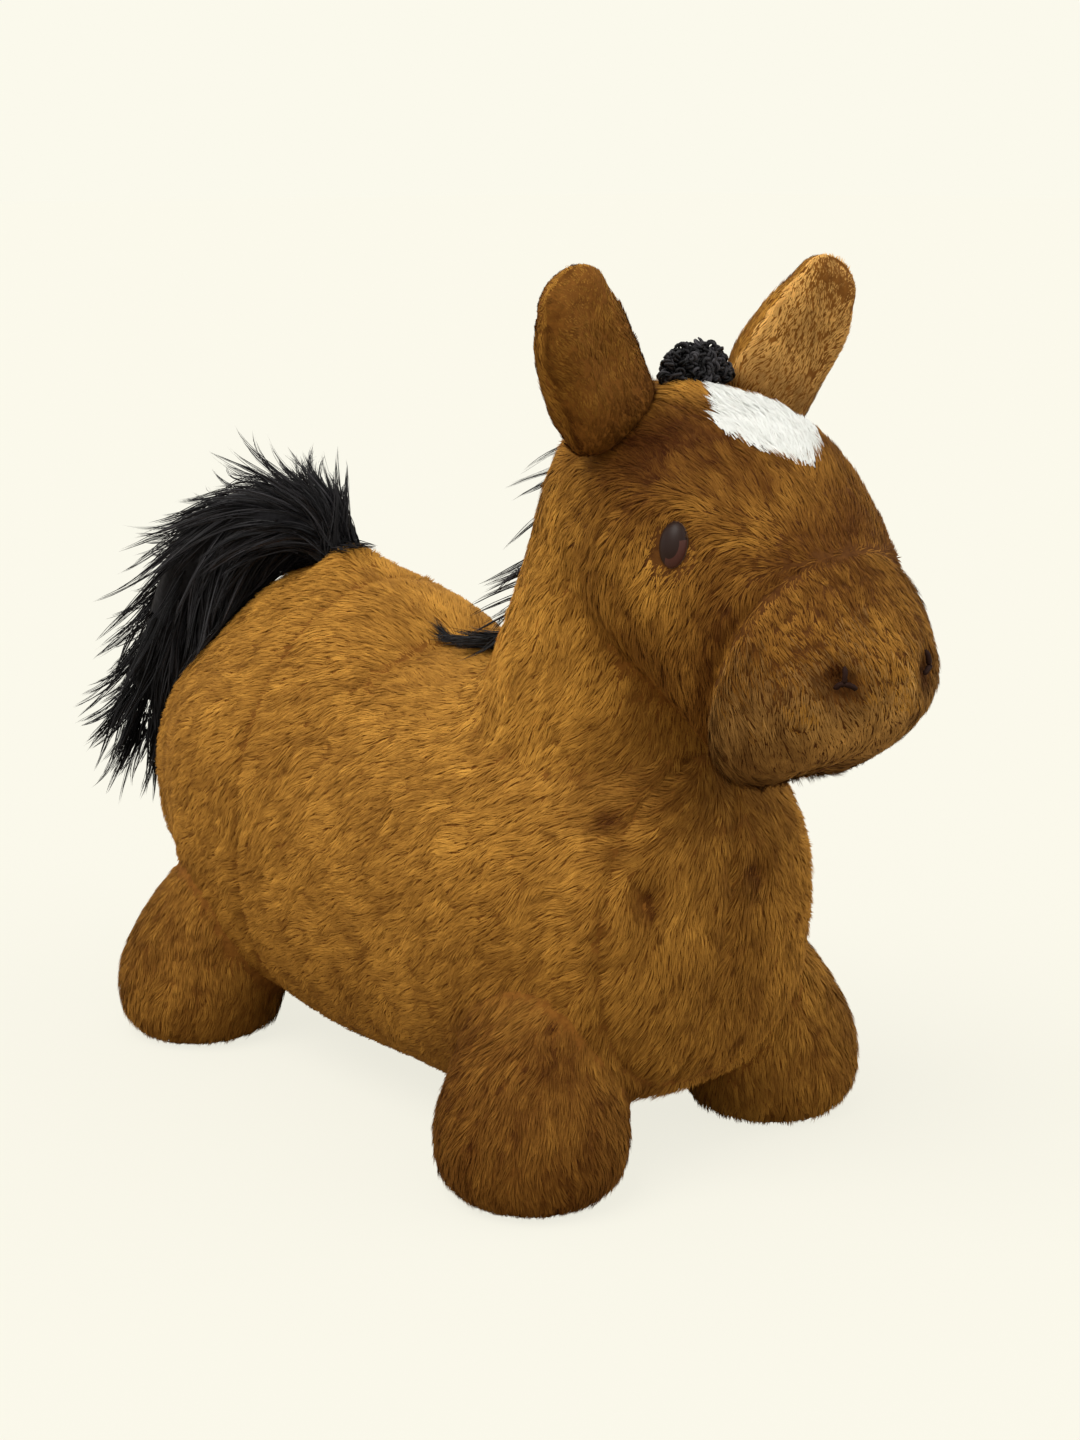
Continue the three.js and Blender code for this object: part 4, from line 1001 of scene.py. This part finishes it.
def tail_tufts(count):
    """Lines of tufts that leave the tail's core, stream along it and flick outwards at their tips."""
    start = np.sort(rng.beta(0.9, 1.1, count)) * 0.93
    angle = turns(count)
    depth = np.sqrt(rng.uniform(0.1, 1, count))
    long = rng.uniform(58, 96, count) * np.interp(start, [0, 0.15, 0.55, 1], [0.95, 1.1, 0.97, 0.6])
    centre, tangent, side, up, size = tail_frames(start)
    out = unit(side * np.cos(angle)[:, None] + up * np.sin(angle)[:, None])
    base = size * 0.7 * depth[:, None]
    p = centre + side * (np.cos(angle) * base[:, 0])[:, None] + up * (np.sin(angle) * base[:, 1])[:, None]
    inner = smoothstep(0.0, 0.8, -out @ unit(np.array([0.25, 0.7, 0.65])))
    splay = 0.18 + 0.66 * rng.uniform(0, 1, count) ** 1.3
    splay = splay * (1 + 0.9 * inner * (1 - smoothstep(0.35, 0.7, start)))
    flick = rng.uniform(0.0, 1.15, count) * (1 - 0.9 * inner)
    draw = 3.5 * inner * (1 - smoothstep(0.4, 0.75, start))
    weight = 0.03 + 0.14 * smoothstep(0.2, 0.6, start)
    bow, wave = rng.normal(0, 0.3, count), turns(count)
    route = np.linalg.norm(np.diff(spline(tail_spine, np.linspace(0, 1, 60)), axis=0), axis=1).sum()

    def heading(s, _):
        _, tangent, side, _, _ = tail_frames(np.clip(start + s * long / route, 0, 1))
        turn = bow * s + 0.14 * np.sin(4.0 * s + wave)
        stand = splay * (0.6 + 0.5 * s) + flick * max(s - 0.5, 0) * 1.6
        return tangent + out * stand[:, None] + side * turn[:, None] - np.outer(weight, [0, 0, s])

    return grown(p, long, 11, heading, TAIL_OFF, draw)


def root_tufts(count):
    """Lines of tufts that stand up from the sewn root and fall back, or lie back, and a few forwards."""
    aside, lean = rng.uniform(-0.55, 0.45, count), rng.uniform(-0.15, 0.5, count)
    forwards = rng.random(count) < 0.05
    lean[forwards] = rng.uniform(-1.6, -0.9, forwards.sum())
    fall = np.where(forwards, 0.2, rng.uniform(0.5, 1.5, count))
    rise = np.where(forwards, 0.45, 1.25)
    low = ~forwards & (rng.random(count) < 0.5)
    lean[low], fall[low] = rng.uniform(0.9, 1.7, low.sum()), 0.3
    rise[low] = rng.uniform(0.1, 0.7, low.sum())
    p = tail_root + np.stack([
        rng.uniform(-15, 13, count), rng.uniform(-8, 14, count), rng.uniform(-4, 6, count)], axis=1)
    long = np.where(forwards, 34.0, rng.uniform(48, 70, count)) + 18.0 * low

    def heading(s, _):
        return np.stack([aside * (0.5 + 0.3 * s), lean + fall * s**1.5, rise - 0.5 * s], axis=1)

    return grown(p, long, 11, heading, np.where(low, LOW_ROOT_OFF, ROOT_OFF), ROOT_DRAW * low)


def side_of(lines):
    """The flat way of each strand: across its run, and square to the way it faces."""
    run = unit(np.diff(lines, axis=1))
    face = unit(rng.normal(size=(len(lines), 1, 3)) + np.array([0, -0.3, 0.6]))
    return unit(np.cross(run, np.broadcast_to(face, run.shape)))


def black_strands(name, lines, half, tone):
    taper = np.linspace(1, 0.4, lines.shape[1] - 1)
    widths = rng.uniform(0.6, 1.0, len(lines))[:, None] * half * taper
    tones = np.clip(np.round(rng.normal(tone, 1.3, len(lines))), 0, BLACK_TONES - 1).astype(int)
    return blades(name, lines, widths, side_of(lines), tones, black_pile)


TAIL_EASE, TAIL_PAST = 26.0, 22.0
TAIL_LIMIT = cad_box[1][1] / MM - MOVE[1] + TAIL_PAST
PER_TUFT = 13
TAIL_TUFTS, ROOT_TUFTS, MANE_TUFTS, CURLS = 620, 210, 260, 380
# How far strands lie from their tuft's line, half their width, and their shade
TAIL_TUFT, ROOT_TUFT, MANE_TUFT = 6.0, 5.0, 4.0
TAIL_HALF, MANE_HALF, ROOT_TONE, MANE_TONE = 0.6, 0.5, 3.2, 2.6
tail_lines = tail_tufts(TAIL_TUFTS)
# Painted light: tufts are lighter high on the tail and darker low down.
tail_tone_with_painted_light = np.interp(tail_lines[:, 0, 2] - tail_root[2], [-150, 0, 20], [1.6, 3.0, 3.8])
tail_tone_with_painted_light = np.repeat(tail_tone_with_painted_light + rng.normal(0, 0.8, TAIL_TUFTS), PER_TUFT)
tail_lines = eased_back(tufted(tail_lines, PER_TUFT, TAIL_TUFT))
tail = black_strands("tail_strands", tail_lines, TAIL_HALF, tail_tone_with_painted_light)
root_lines = tufted(root_tufts(ROOT_TUFTS), PER_TUFT, ROOT_TUFT)
tail_tuft = black_strands("tail_root_strands", root_lines, TAIL_HALF, ROOT_TONE)
rides(tail_tuft, "tail", "black_pile")
CORE_SHARES = np.array([0.8, 0.72, 0.72, 0.72, 0.5])
core_size = tail_rows[:-1, 3:] * CORE_SHARES[:, None]
core_co, core_f = form(tail_spine[:-1], *core_size.T, (12, 18), sides=24, steps=30)
rides(new_object("tail_core", core_co, core_f, [base_black]), "tail", "black_pile")
rides(tail, "tail", "black_pile", "tail_pile")


# Mane: a strip of long black pile along the back of the neck
def on_skin(x, y):
    hit = WHOLE.ray_cast(Vector((x * MM, y * MM, 0.6)), Vector((0, 0, -1)))
    return np.array(hit[0]) / MM, np.array(hit[1])


def mane_tufts(count):
    """Lines of tufts that leave the strip, fall to the sides of the neck and lie rearwards on the back."""
    y = np.sort(rng.uniform(-72, 78, count))
    low = smoothstep(5, 60, y)
    x = rng.uniform(-1, 1, count) * np.interp(y, [-70, 40, 78], [8, 6, 1.5])
    p, out = (np.array(found) for found in zip(*(on_skin(a, b) for a, b in zip(x, y))))
    wisp = rng.random(count) < np.interp(y, [-72, -30, 10, 40], [0.0, 0.1, 0.4, 0.6])
    fall = np.where(wisp, -1, 1) * rng.uniform(0.5, 1.4, count)
    fall = fall * (1 - low) + rng.uniform(-0.45, -0.15, count) * low
    rear = np.interp(y, [-70, 0, 60], [0.55, 0.6, 1.2]) + rng.normal(0, 0.12, count)
    lift = np.where(wisp, rng.uniform(0.1, 0.8, count), 0.08) * (1 - 0.9 * low)
    long = np.interp(y, [-70, -10, 40, 78], [60, 66, 52, 45]) * rng.uniform(0.75, 1.1, count)

    def heading(s, out):
        way = np.stack([fall, rear, -0.3 - 0.3 * s * np.abs(fall)], axis=1)
        stand = 0.4 * (1 - s) ** 2 * (1 - 0.6 * low) + lift * (0.2 + 0.8 * s)
        return along_skin(way, out) + out * stand[:, None]

    return grown(p, long, 10, heading, MANE_OFF, out=out)


mane_lines = tufted(mane_tufts(MANE_TUFTS), PER_TUFT, MANE_TUFT)
mane = black_strands("mane_strands", mane_lines, MANE_HALF, MANE_TONE)
rides(mane, "body", "black_pile", "mane_strip")


# Forelock: short curled yarn between the ears
def tubes(name, lines, radius, materials, tones, sides):
    """Thin closed yarns, one along each line of points."""
    count, k, _ = lines.shape
    run = unit(np.gradient(lines, axis=1))
    face = unit(np.cross(run, np.array([0.31, 0.52, 0.79])))
    other = np.cross(run, face)
    angle = round_angles(sides)[:, None]
    taper = np.ones(k)
    taper[0] = taper[-1] = 0.45
    ring = face[:, :, None] * np.cos(angle) + other[:, :, None] * np.sin(angle)
    co = lines[:, :, None] + ring * (radius * taper)[:, None, None]
    one = ring_faces(k, sides) + [tuple(range(sides))[::-1], tuple(range((k - 1) * sides, k * sides))]
    faces = [tuple(i + c * k * sides for i in face) for c in range(count) for face in one]
    thing = new_object(name, co.reshape(-1, 3), faces, materials)
    thing.data.polygons.foreach_set("material_index", np.repeat(tones, len(one)).astype(np.int32))
    return thing


FORELOCK_Y, FORELOCK_SIZE = -127.0, np.array([32.0, 13.0, 27.0])


def curls(count, steps=15):
    """Small loops of yarn that stand all over the tuft's dome."""
    seat = on_skin(0, FORELOCK_Y)[0]
    turn, rise = turns(count), rng.uniform(0.02, 1, count)
    flat = np.sqrt(1 - rise**3)
    out = np.stack([flat * np.cos(turn), flat * np.sin(turn), rise], axis=1)
    middle = seat + np.array([2.5, 0, 0]) + out * (FORELOCK_SIZE - 4.5) * rng.uniform(0.55, 1.0, (count, 1))
    out = unit(out / FORELOCK_SIZE)
    spin = unit(np.cross(out, rng.normal(size=(count, 3))) + 0.35 * out * rng.normal(size=(count, 1)))
    first = unit(np.cross(spin, rng.normal(size=(count, 3))))
    second = np.cross(spin, first)
    size = rng.uniform(2.2, 4.0, count)
    rows = []
    for s in np.linspace(0, 1, steps):
        a = s * 2 * math.pi * 1.25
        ring = (first * math.cos(a) + second * math.sin(a)) * (size * (1 - 0.25 * s))[:, None]
        rows.append(middle + ring + spin * (2.4 * (s - 0.5)))
    return np.stack(rows, axis=1)


curl_lines, curl_tones = curls(CURLS), rng.integers(0, BLACK_TONES - 2, CURLS)
forelock = tubes("forelock_curls", curl_lines, 1.0, black_pile, curl_tones, 5)
rides(forelock, "body", "black_pile", "forelock_tuft")


def skin_frame(place):
    """The nearest point of the skin, the way out there, and the ways across and up along it."""
    (base,), (out,) = nearest_skin([place])
    normal = unit(out)
    up = unit(Z_AXIS - normal * normal[2])
    return base, normal, np.cross(up, normal), up


# Eyes: a domed oval with a lighter rim, and a reddish painted highlight low on one side
eye_gloss = plain_material("eye_gloss_look", (44, 28, 22), 0.42, 0.22)
eye_rim = plain_material("eye_rim_look", (92, 74, 62), 0.4, 0.35)
# Painted highlight: a reddish patch over the lower rows on one side of the dome.
eye_painted_highlight = plain_material("eye_painted_highlight_look", (82, 48, 40), 0.4, 0.25)
EYE_ROWS, EYE_SIDES, EYE_HALF, EYE_TALL, EYE_LIFT, EYE_DOME = 14, 48, 8.8, 13.4, 0.6, 6.2
RIM_ROWS, HIGHLIGHT_ROWS, HIGHLIGHT_TURN = 2, 8, 0.9
for side, word in SIDES:
    low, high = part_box(f"eye_{word}")
    base, normal, across, up = skin_frame(np.array((low + high) / 2) / MM - MOVE)
    angle = round_angles(EYE_SIDES)
    oval = np.outer(np.cos(angle), across) * EYE_HALF + np.outer(np.sin(angle), up) * EYE_TALL
    rises = np.arange(EYE_ROWS + 1) / EYE_ROWS * math.pi / 2
    co = np.vstack([base + normal * (EYE_LIFT + EYE_DOME * math.sin(a)) + oval * math.cos(a) for a in rises])
    painted_highlight = np.cos(angle + (HIGHLIGHT_TURN if side < 0 else math.pi - HIGHLIGHT_TURN)) > 0.45
    looks = [
        1 if k < RIM_ROWS else 2 if k < HIGHLIGHT_ROWS and painted_highlight[a] else 0
        for k in range(EYE_ROWS) for a in range(EYE_SIDES)
    ]
    dome = ring_faces(EYE_ROWS + 1, EYE_SIDES)
    thing = new_object(f"eye_{word}_dome", co, dome, [eye_gloss, eye_rim, eye_painted_highlight])
    thing.data.polygons.foreach_set("material_index", np.array(looks, np.int32))
    rides(thing, "body", "eye_gloss", f"eye_{word}")


# Nostrils: three stitches of dark thread from the middle of each dimple
thread = plain_material("thread_look", (40, 20, 12), 0.7, 0.15)
along = np.linspace(0, 1, 9)[:, None]
for (_, word), place in zip(SIDES, NOSTRILS):
    base, _, across, up = skin_frame(place)
    lines = []
    for turn, long in ((90, 9.5), (205, 8.5), (335, 8.5)):
        way = across * math.cos(math.radians(turn)) + up * math.sin(math.radians(turn))
        at, out = nearest_skin(base + way * long * along)
        lines.append(at + out * (5.2 - 3.0 * along**3))
    stitches = tubes(f"nostril_{word}_threads", np.array(lines), 1.6, [thread], np.zeros(3, int), 6)
    rides(stitches, "body", "dark_thread", f"nostril_{word}_stitches")


# Soles: round panels under the feet
SOLE_SIDES, SOLE_RINGS = 64, ((38, 2.0), (38, 0.9), (37.3, 0.2), (0.01, 0.2))
angle = round_angles(SOLE_SIDES)
sole_faces = [face[::-1] for face in ring_faces(len(SOLE_RINGS), SOLE_SIDES)]
for end, foot in (("front", FRONT_FOOT), ("rear", REAR_FOOT)):
    for side, word in SIDES:
        co = np.vstack([
            np.column_stack([radius * np.cos(angle), radius * np.sin(angle), angle * 0 + height])
            for radius, height in SOLE_RINGS
        ])
        co += np.array([side * foot[0], foot[1], 0])
        sole = new_object(f"plush_sole_{end}_{word}", co, sole_faces, [base_body])
        rides(sole, "body", "body_plush", f"sole_{end}_{word}")


# CAD pieces that the scene shows as they are get their finish
vinyl = mottled_material("vinyl_look", (196, 196, 200), (222, 222, 224), 60.0, 0.35, 0.0004, 0.0)
tape_cloth = mottled_material("tape_look", (44, 34, 26), (66, 52, 40), 900.0, 0.9, 0.0003, 0.2, (1, 4, 1))
nylon = mottled_material("nylon_look", (52, 44, 38), (74, 64, 54), 500.0, 0.45, 0.0003, 0.0)
metal = plain_material("metal_look", (196, 190, 178), 0.3, 0.5, metallic=1.0)
add_bump(metal, 700.0, 0.0001, 0.2)
clear = mottled_material("plug_look", (226, 224, 216), (238, 236, 230), 120.0, 0.3, 0.0002, 0.0)
LOOKS = {
    "bladder": vinyl, "valve_seat": clear, "valve_plug": clear,
    "zip_bottom_stop": metal, "zip_slider": metal, "zip_pull": metal,
}
for _, word in SIDES:
    LOOKS |= {f"eye_{word}_washer": nylon, f"zip_coil_{word}": nylon}
    LOOKS |= {f"zip_tape_{word}": tape_cloth, f"zip_top_stop_{word}": metal}
for node, look in LOOKS.items():
    thing = frame["nodes"][node]
    for index in range(len(thing.data.materials)):
        thing.data.materials[index] = look


# Floor, backdrop and light
PALE = (*linear((251, 249, 236)), 1)


def seen_only(tree, shader, base):
    """What the camera sees is the shader, and every other ray meets the base."""
    path, chooser = new_node(tree, "LightPath"), new_node(tree, "MixShader")
    tree.links.new(path.outputs["Is Camera Ray"], chooser.inputs["Fac"])
    tree.links.new(base.outputs[0], chooser.inputs[1])
    tree.links.new(shader.outputs[0], chooser.inputs[2])
    return chooser.outputs[0]


floor_look = bpy.data.materials.new("floor_look")
floor_look.use_nodes = True
tree = floor_look.node_tree
tree.nodes.remove(tree.nodes["Principled BSDF"])
glow = new_node(tree, "Emission", Color=PALE)
# A little darker than the glow, so that the lit floor meets the backdrop without an edge
cloth = new_node(tree, "BsdfDiffuse", Color=(*np.array(PALE[:3]) * 0.82, 1))
shown = new_node(tree, "MixShader", Fac=0.16)
tree.links.new(glow.outputs[0], shown.inputs[1])
tree.links.new(cloth.outputs[0], shown.inputs[2])
under = new_node(tree, "BsdfDiffuse", Color=(0.32, 0.27, 0.2, 1))
tree.links.new(seen_only(tree, shown, under), tree.nodes["Material Output"].inputs["Surface"])
bpy.ops.mesh.primitive_plane_add(size=60, location=(0, 0, 0))
floor = bpy.context.object
floor.name = "floor"
floor.data.materials.append(floor_look)
world = bpy.data.worlds.new("world")
scene.world = world
world.use_nodes = True
tree = world.node_tree
backdrop = set_inputs(tree.nodes["Background"], {"Color": PALE})
ambient = new_node(tree, "Background", Color=(1.0, 0.98, 0.95, 1), Strength=0.66)
tree.links.new(seen_only(tree, backdrop, ambient), tree.nodes["World Output"].inputs["Surface"])


def sun(name, way, strength, spread, tint=(1, 1, 1)):
    light = bpy.data.lights.new(name, "SUN")
    light.angle, light.energy, light.color = math.radians(spread), strength, tint
    thing = linked(name, light)
    thing.rotation_mode = "QUATERNION"
    thing.rotation_quaternion = Vector(way).to_track_quat("-Z", "Y")


sun("key", (0.75, 0.0, -1.25), 1.75, 40, (1.0, 0.97, 0.92))
sun("side", (-0.75, 0.75, -0.5), 0.75, 60)
scene.view_settings.view_transform = "Standard"
